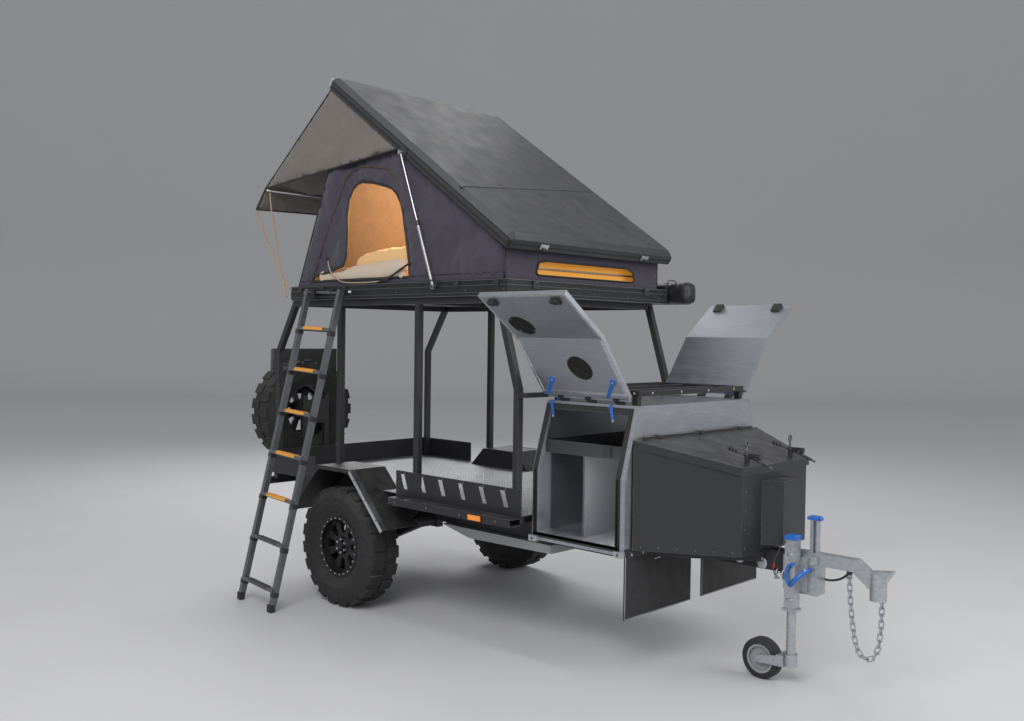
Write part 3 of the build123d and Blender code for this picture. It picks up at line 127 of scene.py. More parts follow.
def material(name, colour, rough=0.5, metal=0.0, blotch=(3.0, 0.12), grain=(900.0, 0.0004),
             wear=0.0, dust=0.0, brush=None, spangle=0.0, sheen=0.0, weave=None, glow=None,
             crease=0.0, coat=0.0, thin=0.0, chequer=False, ribs=None):
    """Procedural finish: blotches, grain, worn edges, dust, brushing, weave or plate pattern; the
    plate's raised bars carry a painted highlight, and glow paints light into the inner tent
    fabric.
    """
    mat = M[name] = bpy.data.materials.new(name)
    mat.use_nodes = True
    tree = mat.node_tree
    shader = tree.nodes["Principled BSDF"]
    coords = add(tree, "ShaderNodeTexCoord").outputs["Object"]
    geometry = add(tree, "ShaderNodeNewGeometry")
    cloud = noise_of(tree, coords, blotch[0])
    base = mix(tree, cloud, rgb(colour, 1 - blotch[1]), rgb(colour, 1 + blotch[1]))
    rough_out = ramp(tree, noise_of(tree, coords, blotch[0] * 5), 0.3, 0.7, rough * 0.88,
                     min(1.0, rough * 1.14))
    height = maths(tree, "MULTIPLY", noise_of(tree, coords, grain[0], 2.0), grain[1])
    if brush:
        lines = noise_of(tree, stretched(tree, coords, brush), 1.0, 3.0, 0.7)
        base = mix(tree, ramp(tree, lines, 0.3, 0.7), base, rgb(colour, 1.28))
        rough_out = maths(tree, "ADD", rough_out, ramp(tree, lines, 0.3, 0.7, -0.06, 0.08))
        height = layer(tree, height, lines, 0.00012)
    if spangle:
        cell = add(tree, "ShaderNodeTexVoronoi", {"Vector": coords, "Scale": 95.0})
        tone = add(tree, "ShaderNodeSeparateColor", {"Color": cell.outputs["Color"]}).outputs[0]
        base = mix(tree, maths(tree, "MULTIPLY", tone, spangle), base, rgb(colour, 1.7))
        rough_out = maths(tree, "ADD", rough_out, ramp(tree, tone, 0.0, 1.0, -0.1, 0.12))
    if weave:
        size, depth = weave
        across = add(tree, "ShaderNodeTexWave", {"Vector": stretched(tree, coords, (1, 1, 0.35)),
                     "Scale": size, "Distortion": 1.2, "Detail": 1.0}, bands_direction="DIAGONAL")
        along = add(tree, "ShaderNodeTexWave", {"Vector": stretched(tree, coords, (0.4, 0.4, 1)),
                    "Scale": size, "Distortion": 1.2, "Detail": 1.0}, bands_direction="Z")
        threads = maths(tree, "MULTIPLY", across.outputs["Fac"], along.outputs["Fac"])
        height = layer(tree, height, threads, depth)
        base = mix(tree, ramp(tree, threads, 0.1, 0.8, 0.0, 0.35), base, rgb(colour, 0.72))
    if crease:
        fold = noise_of(tree, stretched(tree, coords, (5.0, 5.0, 1.6)), 3.0, 5.0, 0.6)
        fold = maths(tree, "ABSOLUTE", maths(tree, "SUBTRACT", fold, 0.5))
        height = layer(tree, height, fold, crease)
    if ribs:
        wave = add(tree, "ShaderNodeTexWave", {"Vector": coords, "Scale": ribs[1]},
                   bands_direction=ribs[0]).outputs["Fac"]
        height = layer(tree, height, wave, ribs[2])
    if chequer:
        bars = chequer_height(tree, coords)
        height = maths(tree, "ADD", height, bars)
        # the raised bars are painted lighter than the plate: a painted highlight
        base = mix(tree, ramp(tree, bars, 0.0002, 0.0014), base, rgb(colour, 2.6))
    if wear:
        bevel = add(tree, "ShaderNodeBevel", {"Radius": 0.004}, samples=4).outputs["Normal"]
        edge = add(tree, "ShaderNodeVectorMath", {0: bevel, 1: geometry.outputs["Normal"]},
                   operation="DOT_PRODUCT").outputs["Value"]
        edge = ramp(tree, edge, 0.97, 0.8)
        patch = ramp(tree, noise_of(tree, coords, 38.0, 6.0, 0.7), 0.42, 0.62)
        edge = maths(tree, "MULTIPLY", maths(tree, "MULTIPLY", edge, patch), wear)
        base = mix(tree, edge, base, (0.38, 0.38, 0.4, 1.0))
    if dust:
        up = add(tree, "ShaderNodeSeparateXYZ",
                 {"Vector": geometry.outputs["Normal"]}).outputs["Z"]
        film = maths(tree, "MULTIPLY", ramp(tree, up, 0.2, 1.0),
                     ramp(tree, noise_of(tree, coords, 9.0, 6.0, 0.65), 0.35, 0.75))
        film = maths(tree, "MULTIPLY", film, dust)
        base = mix(tree, film, base, (0.33, 0.31, 0.29, 1.0))
        rough_out = layer(tree, rough_out, film, 0.4)
    bump = add(tree, "ShaderNodeBump", {"Height": height, "Distance": 1.0, "Strength": 1.0})
    tree.links.new(base, shader.inputs["Base Color"])
    tree.links.new(rough_out, shader.inputs["Roughness"])
    tree.links.new(bump.outputs["Normal"], shader.inputs["Normal"])
    shader.inputs["Metallic"].default_value = metal
    shader.inputs["Coat Weight"].default_value = coat
    shader.inputs["Coat Roughness"].default_value = 0.15
    if sheen:
        shader.inputs["Sheen Weight"].default_value = sheen
        shader.inputs["Sheen Roughness"].default_value = 0.5
    # glow is emission; on the inner tent fabric and pillow it is painted light of the lamp inside
    if glow:
        shader.inputs["Emission Color"].default_value = rgb(glow[0])
        shader.inputs["Emission Strength"].default_value = glow[1]
    if thin:
        clear = add(tree, "ShaderNodeBsdfTranslucent", {"Color": base})
        blend = add(tree, "ShaderNodeMixShader", {"Fac": thin, 1: shader.outputs["BSDF"],
                                                  2: clear.outputs["BSDF"]})
        tree.links.new(blend.outputs["Shader"], tree.nodes["Material Output"].inputs["Surface"])


def chequer_height(tree, coords):
    """Raised bars, turned the other way in every second cell."""
    pitch = 0.028
    cell = add(tree, "ShaderNodeVectorMath", {0: coords, 1: (1 / pitch, 1 / pitch, 0.0)},
               operation="MULTIPLY").outputs["Vector"]
    parts = add(tree, "ShaderNodeSeparateXYZ", {"Vector": cell})
    u, v = parts.outputs["X"], parts.outputs["Y"]
    fu = maths(tree, "SUBTRACT", maths(tree, "FRACT", u), 0.5)
    fv = maths(tree, "SUBTRACT", maths(tree, "FRACT", v), 0.5)
    odd = maths(tree, "ADD", maths(tree, "FLOOR", u), maths(tree, "FLOOR", v))
    odd = maths(tree, "FLOORED_MODULO", odd, 2.0)
    sign = maths(tree, "SUBTRACT", maths(tree, "MULTIPLY", odd, 2.0), 1.0)
    fv = maths(tree, "MULTIPLY", fv, sign)
    along = maths(tree, "MULTIPLY", maths(tree, "ADD", fu, fv), 0.7071)
    across = maths(tree, "MULTIPLY", maths(tree, "SUBTRACT", fu, fv), 0.7071)
    size = maths(tree, "ADD", maths(tree, "POWER", maths(tree, "MULTIPLY", along, 2.2), 2.0),
                 maths(tree, "POWER", maths(tree, "MULTIPLY", across, 7.5), 2.0))
    return maths(tree, "MULTIPLY", ramp(tree, size, 1.0, 0.45), 0.0016)


material("tyre", (0.022, 0.022, 0.023), 0.82, blotch=(6, 0.25), grain=(420, 0.0006), dust=0.35)
material("rubber_black", (0.022, 0.022, 0.023), 0.7, grain=(300, 0.0004), dust=0.15)
material("wheel_black", (0.017, 0.017, 0.018), 0.42, metal=0.3, wear=0.35, grain=(700, 0.0003))
material("plastic_grey", (0.3, 0.31, 0.32), 0.5, grain=(500, 0.0003))
material("cast_grey", (0.12, 0.12, 0.125), 0.6, metal=0.6, grain=(240, 0.0009))
material("frame_black", (0.02, 0.02, 0.022), 0.46, wear=0.45, dust=0.25, grain=(520, 0.0006))
material("tank_grey", (0.42, 0.43, 0.43), 0.55, blotch=(4, 0.08), grain=(160, 0.0008), dust=0.3)
material("chequer_plate", (0.2, 0.205, 0.215), 0.42, metal=0.85, chequer=True, blotch=(5, 0.3),
         dust=0.3)
material("panel_black", (0.017, 0.017, 0.019), 0.4, wear=0.5, dust=0.2, grain=(520, 0.0005))
material("bright_trim", (0.62, 0.63, 0.65), 0.3, metal=1.0, brush=(40, 400, 400))
material("lamp_amber", (0.8, 0.24, 0.02), 0.15, coat=0.6, ribs=("X", 60.0, 0.0006),
         glow=((0.9, 0.28, 0.02), 0.25))
material("lamp_red", (0.5, 0.015, 0.012), 0.15, coat=0.6, ribs=("Y", 60.0, 0.0006),
         glow=((0.7, 0.02, 0.01), 0.2))
material("cabinet_aluminium", (0.36, 0.375, 0.41), 0.38, metal=0.9, brush=(6, 6, 320),
         blotch=(2.2, 0.16), dust=0.08)
material("cabinet_grey", (0.09, 0.093, 0.1), 0.45, metal=0.4, wear=0.3, grain=(520, 0.0004))
material("cast_bright", (0.55, 0.56, 0.58), 0.42, metal=0.95, grain=(260, 0.0009))
material("box_black", (0.02, 0.021, 0.024), 0.36, wear=0.45, dust=0.22, grain=(480, 0.0005),
         coat=0.1)
material("latch_black", (0.025, 0.025, 0.026), 0.35, grain=(500, 0.0003))
material("tent_extrusion", (0.026, 0.027, 0.03), 0.36, metal=0.55, wear=0.3, brush=(8, 300, 300),
         dust=0.12)
material("mattress_cloth", (0.62, 0.5, 0.38), 0.85, sheen=0.4, weave=(520, 0.0004), crease=0.004)
material("galvanised", (0.42, 0.44, 0.46), 0.4, metal=0.9, spangle=0.35, grain=(300, 0.0004),
         dust=0.1)
material("roof_charcoal", (0.034, 0.036, 0.039), 0.46, blotch=(1.4, 0.12), grain=(620, 0.0007),
         dust=0.18)
material("strut_black", (0.3, 0.3, 0.31), 0.4, metal=0.9, brush=(200, 200, 10))
material("strut_chrome", (0.5, 0.5, 0.52), 0.22, metal=1.0, brush=(200, 200, 10))
material("canvas_grey", (0.058, 0.05, 0.076), 0.9, sheen=0.15, weave=(560, 0.0003), crease=0.006,
         blotch=(2.5, 0.08), thin=0.06)
material("canopy_beige", (0.21, 0.185, 0.165), 0.9, sheen=0.2, weave=(560, 0.0003), crease=0.006,
         blotch=(2.0, 0.08), thin=0.14)
material("rope_tan", (0.42, 0.28, 0.15), 0.85, sheen=0.3, grain=(1500, 0.0012))
material("vinyl_black", (0.016, 0.016, 0.018), 0.34, crease=0.02, grain=(700, 0.0004), dust=0.15)
material("ladder_grey", (0.16, 0.165, 0.175), 0.36, metal=0.85, wear=0.3, brush=(300, 300, 8),
         dust=0.1)
material("bag_black", (0.03, 0.03, 0.032), 0.85, sheen=0.2, weave=(380, 0.0006), crease=0.01,
         dust=0.15)
material("paint_blue", (0.015, 0.13, 0.5), 0.35, coat=0.3, grain=(400, 0.0003))
material("brake_red", (0.5, 0.02, 0.015), 0.4, grain=(400, 0.0003))
material("orange_strip", (0.8, 0.36, 0.05), 0.6, grain=(300, 0.0008))
# these inner fabrics glow though they are no lamp: painted light of the tent's lamp, strongest on
# the far lining
material("inner_orange", (0.82, 0.4, 0.07), 0.85, sheen=0.3, crease=0.012, weave=(520, 0.0003),
         glow=((0.9, 0.36, 0.04), 0.32))
material("inner_far", (0.9, 0.34, 0.03), 0.85, crease=0.02, weave=(520, 0.0003),
         glow=((1.0, 0.33, 0.02), 0.36))
material("inner_quilt", (0.72, 0.46, 0.2), 0.85, sheen=0.4, crease=0.006, weave=(520, 0.0003),
         glow=((0.8, 0.5, 0.2), 0.12))
material("piping_black", (0.02, 0.02, 0.021), 0.6, grain=(900, 0.0004))
material("zip_brown", (0.075, 0.048, 0.034), 0.7, grain=(1200, 0.0006))
material("vent_black", (0.006, 0.006, 0.0065), 0.8, grain=(900, 0.0004))
material("cabinet_dark", (0.03, 0.031, 0.034), 0.45, wear=0.3, grain=(520, 0.0004))
material("white_trim", (0.75, 0.76, 0.78), 0.4, grain=(300, 0.0002))
material("roof_band", (0.13, 0.135, 0.14), 0.35, metal=0.8, brush=(8, 300, 300), dust=0.1)
material("floor", (0.6, 0.6, 0.61), 0.6, blotch=(0.4, 0.02), grain=(60, 0.0001))

SLOT_OF = {item["node"]: item["material_slot"] for item in frame["record"]["subparts"]}
BEVEL = {"roof_shell": 0.006, "tent_tray": 0.005, "mattress": 0.02, "tyre": 0.004}


def finish_node(name):
    """Give a carried-over CAD node its finish, softened edges and smooth curves."""
    obj = NODES[name]
    obj.data.materials.clear()
    obj.data.materials.append(M[SLOT_OF[name]])
    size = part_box(name)
    least = min(size[1][i] - size[0][i] for i in range(3))
    soften(obj, BEVEL.get(name, min(0.002, max(0.0004, least * 0.06))))


def darken_shelf():
    """The cabinet's shelf tray is dark and its divider bare metal."""
    data = NODES["cabinet_shelf"].data
    data.materials.clear()
    data.materials.append(M["cabinet_dark"])
    data.materials.append(M["cabinet_grey"])
    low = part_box("cabinet_shelf")[1].z - 0.080
    for face in data.polygons:
        face.material_index = int(face.center.z < low)


def darken_arch_trim():
    """Only the front slope of each arch carries the bright bar."""
    data = NODES["guard_trim"].data
    data.materials.clear()
    data.materials.append(M["panel_black"])
    data.materials.append(M["bright_trim"])
    for face in data.polygons:
        spot = face.center - AXLE
        face.material_index = int(spot.x > 0.20)


def soften(obj, width):
    """Small rounded edges, smooth elsewhere."""
    bevel = obj.modifiers.new("edges", "BEVEL")
    bevel.width = width
    bevel.segments = 2
    bevel.limit_method = "ANGLE"
    bevel.angle_limit = math.radians(35)
    bevel.use_clamp_overlap = True
    bevel.harden_normals = False
    for face in obj.data.polygons:
        face.use_smooth = True
    obj.modifiers.new("normals", "WEIGHTED_NORMAL").keep_sharp = True


for node_name in NODES:
    finish_node(node_name)
darken_shelf()
darken_arch_trim()


# ------------------------------------------------------------------ camera, light, floor
IMAGE_WIDTH = 1024
FOCAL_PX = 997.65
SENSOR = 36.0
CAMERA_PLACE = (5.453, -4.920, 1.828)
CAMERA_TURN = (133.77, -1.39, 0.79)     # yaw, pitch and roll in degrees


def camera():
    """The photograph's own view, from its fitted place, angles and focal length."""
    yaw, pitch, roll = (math.radians(a) for a in CAMERA_TURN)
    ahead = Vector((math.cos(yaw) * math.cos(pitch), math.sin(yaw) * math.cos(pitch),
                    math.sin(pitch)))
    right = Vector((math.sin(yaw), -math.cos(yaw), 0.0))
    up = right.cross(ahead)
    right_r = right * math.cos(roll) + up * math.sin(roll)
    up_r = up * math.cos(roll) - right * math.sin(roll)
    data = bpy.data.cameras.new("camera")
    data.sensor_width = SENSOR
    data.lens = FOCAL_PX / IMAGE_WIDTH * SENSOR
    obj = bpy.data.objects.new("camera", data)
    place = Matrix((right_r, up_r, -ahead)).transposed().to_4x4()
    place.translation = at(*CAMERA_PLACE)
    obj.matrix_world = place
    bpy.context.collection.objects.link(obj)
    bpy.context.scene.camera = obj


def light(name, kind, place, power):
    """A light that the camera doesn't see."""
    data = bpy.data.lights.new(name, kind)
    data.energy = power
    obj = bpy.data.objects.new(name, data)
    obj.location = place
    obj.visible_camera = False
    bpy.context.collection.objects.link(obj)
    return obj


def area(name, place, target, size, power):
    obj = light(name, "AREA", place, power)
    obj.data.shape = "RECTANGLE"
    obj.data.size, obj.data.size_y = size
    direction = Vector(target) - Vector(place)
    obj.rotation_euler = direction.to_track_quat("-Z", "Y").to_euler()


def lamp(name, place, power, colour, size):
    data = light(name, "POINT", place, power).data
    data.color = colour
    data.shadow_soft_size = size


def studio():
    """Even world light, three soft lights, the inner lamps and a floor that rises behind."""
    world = bpy.data.worlds.new("studio")
    bpy.context.scene.world = world
    world.use_nodes = True
    back = world.node_tree.nodes["Background"]
    back.inputs["Color"].default_value = (0.86, 0.87, 0.9, 1.0)
    back.inputs["Strength"].default_value = 0.5
    area("key", at(4.5, -6.5, 6.5), at(0.6, 0, 1.2), (5.0, 4.0), 430)
    area("fill", at(7.5, 1.5, 4.0), at(1.0, 0, 1.2), (4.0, 4.0), 170)
    area("rim", at(-5.0, 4.0, 6.0), at(0.5, 0, 1.5), (4.0, 3.0), 260)
    lamp("tent_lamp", at(0.42, 0.15, 2.82), 210, (1.0, 0.6, 0.2), 0.12)
    for side in SIDES:
        area("cabinet_strip", at(2.205, side * 0.655, 0.91), at(1.6, side * 0.60, 0.80),
             (0.02, 0.36), 4.2)
    bpy.context.scene.view_settings.view_transform = "Standard"
    mesh = bpy.data.meshes.new("floor")
    front, half, reach, rise, bend, steps = -14.0, 30.0, 26.0, 22.0, 5.0, 12
    rows = [(front, 0.0), (reach - bend, 0.0)]
    for i in range(1, steps + 1):
        turn = TURN / 4 * i / steps
        rows.append((reach - bend + bend * math.sin(turn), bend - bend * math.cos(turn)))
    rows.append((reach, rise))
    ahead = Vector((-0.69, 0.72, 0.0))
    side = Vector((0.72, 0.69, 0.0))
    verts, faces = [], []
    for along, z in rows:
        for across in (-half, half):
            verts.append(at(0, 0, 0) + ahead * along + side * across + Vector((0, 0, z - 0.0005)))
    for i in range(len(rows) - 1):
        faces.append((2 * i, 2 * i + 1, 2 * i + 3, 2 * i + 2))
    mesh.from_pydata(verts, [], faces)
    for face in mesh.polygons:
        face.use_smooth = True
    obj = bpy.data.objects.new("floor", mesh)
    mesh.materials.append(M["floor"])
    bpy.context.collection.objects.link(obj)


# ------------------------------------------------------------------ shaping helpers
def place_mesh(name, verts, faces, mat, smooth=True):
    mesh = bpy.data.meshes.new(name)
    mesh.from_pydata([tuple(v) for v in verts], [], faces)
    mesh.update()
    obj = bpy.data.objects.new(name, mesh)
    mesh.materials.append(M[mat])
    bpy.context.collection.objects.link(obj)
    for face in mesh.polygons:
        face.use_smooth = smooth
    return obj


def apply_all(obj):
    """Turn the object's modifiers into its own mesh."""
    graph = bpy.context.evaluated_depsgraph_get()
    mesh = bpy.data.meshes.new_from_object(obj.evaluated_get(graph))
    obj.modifiers.clear()
    obj.data = mesh


def join(name, items, body):
    """One piece from several with their finishes kept, riding on a body."""
    bm = bmesh.new()
    mats = []
    for item in items:
        graph = bpy.context.evaluated_depsgraph_get()
        mesh = bpy.data.meshes.new_from_object(item.evaluated_get(graph))
        mesh.transform(item.matrix_world)
        mat = item.data.materials[0]
        if mat not in mats:
            mats.append(mat)
        first = len(bm.faces)
        bm.from_mesh(mesh)
        bm.faces.ensure_lookup_table()
        for i in range(first, len(bm.faces)):
            bm.faces[i].material_index = mats.index(mat)
        bpy.data.objects.remove(item)
    mesh = bpy.data.meshes.new(name)
    bm.to_mesh(mesh)
    bm.free()
    for mat in mats:
        mesh.materials.append(mat)
    obj = bpy.data.objects.new(name, mesh)
    bpy.context.collection.objects.link(obj)
    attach(obj, body)
    return obj


def plate(name, corners, thick, mat, edge=0.001):
    """Flat plate standing off its corners by its thickness, along their right-hand normal."""
    corners = [Vector(c) for c in corners]
    n = (corners[1] - corners[0]).cross(corners[2] - corners[1]).normalized()
    count = len(corners)
    verts = corners + [c + n * thick for c in corners]
    faces = [tuple(range(count))[::-1], tuple(range(count, 2 * count))]
    for i in range(count):
        j = (i + 1) % count
        faces.append((i, j, j + count, i + count))
    obj = place_mesh(name, verts, faces, mat, False)
    if edge:
        soften(obj, edge)
    return obj


def bar(name, size, centre, mat, edge=0.0015, turn=None):
    """Box with softened edges about a centre, turned by a matrix."""
    sx, sy, sz = (s / 2 for s in size)
    verts = [Vector((x, y, z)) for x in (-sx, sx) for y in (-sy, sy) for z in (-sz, sz)]
    if turn is not None:
        verts = [turn @ v for v in verts]
    faces = [(0, 1, 3, 2), (4, 6, 7, 5), (0, 4, 5, 1), (2, 3, 7, 6), (0, 2, 6, 4), (1, 5, 7, 3)]
    obj = place_mesh(name, [v + centre for v in verts], faces, mat, False)
    soften(obj, edge)
    return obj


def bands(rows, sides, first=0):
    """Quads between successive rings of a swept or turned piece."""
    faces = []
    for i in range(rows - 1):
        for k in range(sides):
            a, b = first + i * sides + k, first + i * sides + (k + 1) % sides
            faces.append((a, b, b + sides, a + sides))
    return faces


def caps(first, end, sides):
    """The two end faces of a piece whose rings run from first to end."""
    return [tuple(range(first, first + sides))[::-1], tuple(range(end - sides, end))]


def spun(count, extra=0):
    """Angles of a full turn in even steps; extra=1 repeats the first."""
    return [TURN * i / count for i in range(count + extra)]


def tube(name, points, radius, mat, sides=10, shape=None):
    """Tube along a path; shape(i, angle) scales the radius."""
    points = [Vector(p) for p in points]
    verts = []
    ref = Vector((0, 0, 1))
    for i, p in enumerate(points):
        before, after = points[max(i - 1, 0)], points[min(i + 1, len(points) - 1)]
        ahead = (after - before).normalized()
        if i == 0 and abs(ahead.dot(ref)) > 0.9:
            ref = Vector((1, 0, 0))
        side = (ref - ahead * ref.dot(ahead)).normalized()
        ref = side
        other = ahead.cross(side)
        for angle in spun(sides):
            r = radius * (shape(i, angle) if shape else 1.0)
            verts.append(p + side * math.cos(angle) * r + other * math.sin(angle) * r)
    faces = bands(len(points), sides) + caps(0, len(verts), sides)
    return place_mesh(name, verts, faces, mat)


def lathe(name, profile, origin, axis, mat, sides=32):
    """Turned piece from (radius, distance along the axis) points; a profile that ends at its
    first point closes on itself as a ring."""
    axis = Vector(axis).normalized()
    u = axis.orthogonal().normalized()
    v = axis.cross(u)
    verts = [origin + axis * t + (u * math.cos(a) + v * math.sin(a)) * r
             for r, t in profile for a in spun(sides)]
    faces = bands(len(profile), sides)
    if profile[0] == profile[-1]:
        faces += [tuple(j if j < len(verts) - sides else j - len(verts) + sides for j in face)
                  for face in [faces.pop() for _ in range(sides)]]
        verts = verts[:-sides]
    else:
        faces += caps(0, len(verts), sides)
    obj = place_mesh(name, verts, faces, mat)
    soften(obj, 0.0008)
    return obj


def kept(maker):
    """A method that makes an item and keeps it."""
    def method(kit, *args):
        kit.items.append(maker(*args))
    return method


class Kit:
    """Small items that become one piece; the makers take the same values as their namesakes."""
    bar, plate, tube, lathe = kept(bar), kept(plate), kept(tube), kept(lathe)

    def __init__(self):
        self.items = []

    def join(self, name, body):
        return join(name, self.items, body)


def smooth_path(points, steps=8):
    """Catmull-Rom line through points."""
    points = [Vector(p) for p in points]
    points = [points[0] * 2 - points[1]] + points + [points[-1] * 2 - points[-2]]
    out = []
    for a, b, c, d in zip(points, points[1:], points[2:], points[3:]):
        for i in range(steps):
            t = i / steps
            out.append(0.5 * (2 * b + (c - a) * t + (2 * a - 5 * b + 4 * c - d) * t * t
                              + (3 * b - a - 3 * c + d) * t ** 3))
    out.append(points[-2])
    return out


def resample(line, step):
    """Points along a line, no further apart than step."""
    out = []
    for a, b in zip(line, line[1:]):
        count = max(1, int(math.dist(a, b) / step))
        for i in range(count):
            out.append(tuple(p + (q - p) * i / count for p, q in zip(a, b)))
    out.append(tuple(line[-1]))
    return out


def inside(point, outline):
    x, y = point
    hit = False
    for (x0, y0), (x1, y1) in zip(outline, outline[1:] + outline[:1]):
        if (y0 > y) != (y1 > y) and x < (x1 - x0) * (y - y0) / (y1 - y0) + x0:
            hit = not hit
    return hit


def area_of(outline):
    pairs = zip(outline, outline[1:] + outline[:1])
    return abs(sum(a[0] * b[1] - b[0] * a[1] for a, b in pairs)) / 2


def cloth_panel(name, outline, holes, to_space, mat, step=0.035, seams=()):
    """Flat fabric panel with holes, triangulated evenly; returns it and how many of its first
    points lie on its boundary and seams."""
    verts, edges = [], []
    for loop in [outline] + holes:
        ring = resample(loop + [loop[0]], step)[:-1]
        first = len(verts)
        verts += [Vector(p) for p in ring]
        edges += [(first + i, first + (i + 1) % len(ring)) for i in range(len(ring))]
    for line in seams:
        run = resample(line, step)
        first = len(verts)
        verts += [Vector(p) for p in run]
        edges += [(first + i, first + i + 1) for i in range(len(run) - 1)]
    rim = len(verts)
    xs, zs = [p[0] for p in outline], [p[1] for p in outline]
    row, z = 0, min(zs) + step / 2
    while z < max(zs):
        x = min(xs) + step * (0.5 + 0.5 * (row % 2))
        while x < max(xs):
            if inside((x, z), outline) and not any(inside((x, z), h) for h in holes):
                if all((v.x - x) ** 2 + (v.y - z) ** 2 > (step * 0.55) ** 2 for v in verts[:rim]):
                    verts.append(Vector((x, z)))
            x += step
        z += step * 0.87
        row += 1
    flat, _, tris, *_ = delaunay_2d_cdt(verts, edges, [], 0, 1e-5)
    keep = []
    for tri in tris:
        mid = sum((flat[i] for i in tri), Vector((0, 0))) / len(tri)
        if inside(mid, outline) and not any(inside(mid, h) for h in holes):
            keep.append(tuple(tri))
    obj = place_mesh(name, [to_space(v.x, v.y) for v in flat], keep, mat)
    return obj, rim


def drape(obj, pinned, grow=0.012, frames=18, pull=0.25, reach=0.03, pressure=0.0):
    """Let fabric settle with a little slack, held at its pinned points, within a set reach."""
    start = [v.co.copy() for v in obj.data.vertices]
    group = obj.vertex_groups.new(name="pin")
    if pinned:
        group.add(pinned, 1.0, "REPLACE")
    cloth = obj.modifiers.new("cloth", "CLOTH")
    settings = cloth.settings
    settings.quality = 6
    settings.mass = 0.25
    settings.tension_stiffness = 18
    settings.compression_stiffness = 12
    settings.shear_stiffness = 6
    settings.bending_stiffness = 0.25
    settings.shrink_min = -grow
    settings.effector_weights.gravity = pull
    if pinned:
        settings.vertex_group_mass = "pin"
    if pressure:
        settings.use_pressure = True
        settings.uniform_pressure_force = pressure
    cloth.collision_settings.use_collision = False
    cloth.point_cache.frame_start = 1
    cloth.point_cache.frame_end = frames
    scene = bpy.context.scene
    for number in range(1, frames + 1):
        scene.frame_set(number)
    apply_all(obj)
    scene.frame_set(1)
    for vert, home in zip(obj.data.vertices, start):
        move = vert.co - home
        if move.length > reach:
            vert.co = home + move.normalized() * reach
    for face in obj.data.polygons:
        face.use_smooth = True


def thicken(obj, thick):
    solid = obj.modifiers.new("thickness", "SOLIDIFY")
    solid.thickness = thick
    solid.offset = 0.0


def pad_block(name, corners, mat, voxel, round_by):
    """Closed soft block from two corners, evenly meshed and rounded, ready to be filled."""
    low, high = (Vector(c) for c in corners)
    obj = bar(name, high - low, (low + high) / 2, mat, round_by)
    obj.modifiers["edges"].segments = 4
    obj.modifiers.remove(obj.modifiers["normals"])
    remesh = obj.modifiers.new("even", "REMESH")
    remesh.mode = "VOXEL"
    remesh.voxel_size = voxel
    remesh.use_smooth_shade = True
    apply_all(obj)
    return obj


# ------------------------------------------------------------------ tent fabric
TRAY_TOP = 2.1643
WALL_Y = 0.752
WALL_FRONT, WALL_REAR = 1.392, -0.691       # feet of the front and rear walls
WALL_PEAK = -0.126                          # where the sloping rear wall meets the roof
CANVAS_T = 0.002
LINING_FRONT, LINING_REAR, LINING_PEAK = 1.33, -0.65, -0.10


def under_roof(x):
    """Height of the wall's top under the roof at a distance along the trailer."""
    return 2.4295 + (1.364 - x) * 0.6873


WALL = [(WALL_FRONT, TRAY_TOP), (WALL_FRONT, under_roof(WALL_FRONT)),
        (WALL_PEAK, under_roof(WALL_PEAK)), (WALL_REAR, TRAY_TOP)]
DOOR_HOLE = [(-0.515, 2.195), (-0.50, 2.232), (-0.32, 2.262), (-0.165, 2.292), (-0.125, 2.36),
             (-0.112, 2.50),
             (-0.117, 2.646), (-0.095, 2.75), (-0.05, 2.817), (0.0, 2.845), (0.048, 2.853),
             (0.18, 2.832), (0.30, 2.80), (0.36, 2.78), (0.405, 2.745), (0.45, 2.68),
             (0.48, 2.60), (0.51, 2.48), (0.533, 2.348), (0.545, 2.195)]
ARCH = [(-0.54, 2.175), (-0.42, 2.42), (-0.30, 2.626), (-0.20, 2.79), (-0.127, 2.90),
        (-0.05, 2.945), (0.038, 2.957), (0.17, 2.94), (0.30, 2.915), (0.37, 2.865),
        (0.42, 2.79), (0.46, 2.66), (0.50, 2.474), (0.53, 2.31), (0.554, 2.175)]
WINDOW = [(-0.47, 0.034), (0.46, 0.034), (0.488, 0.05), (0.47, 0.10), (0.40, 0.122),
          (-0.40, 0.122), (-0.462, 0.11), (-0.485, 0.05)]   # y and height above the tray


def crush(obj):
    """Give the piece its own mesh."""
    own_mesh(obj)


def tall(obj):
    """Tent fabric rides on the trailer and gets its own mesh."""
    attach(obj, "trailer")
    crush(obj)


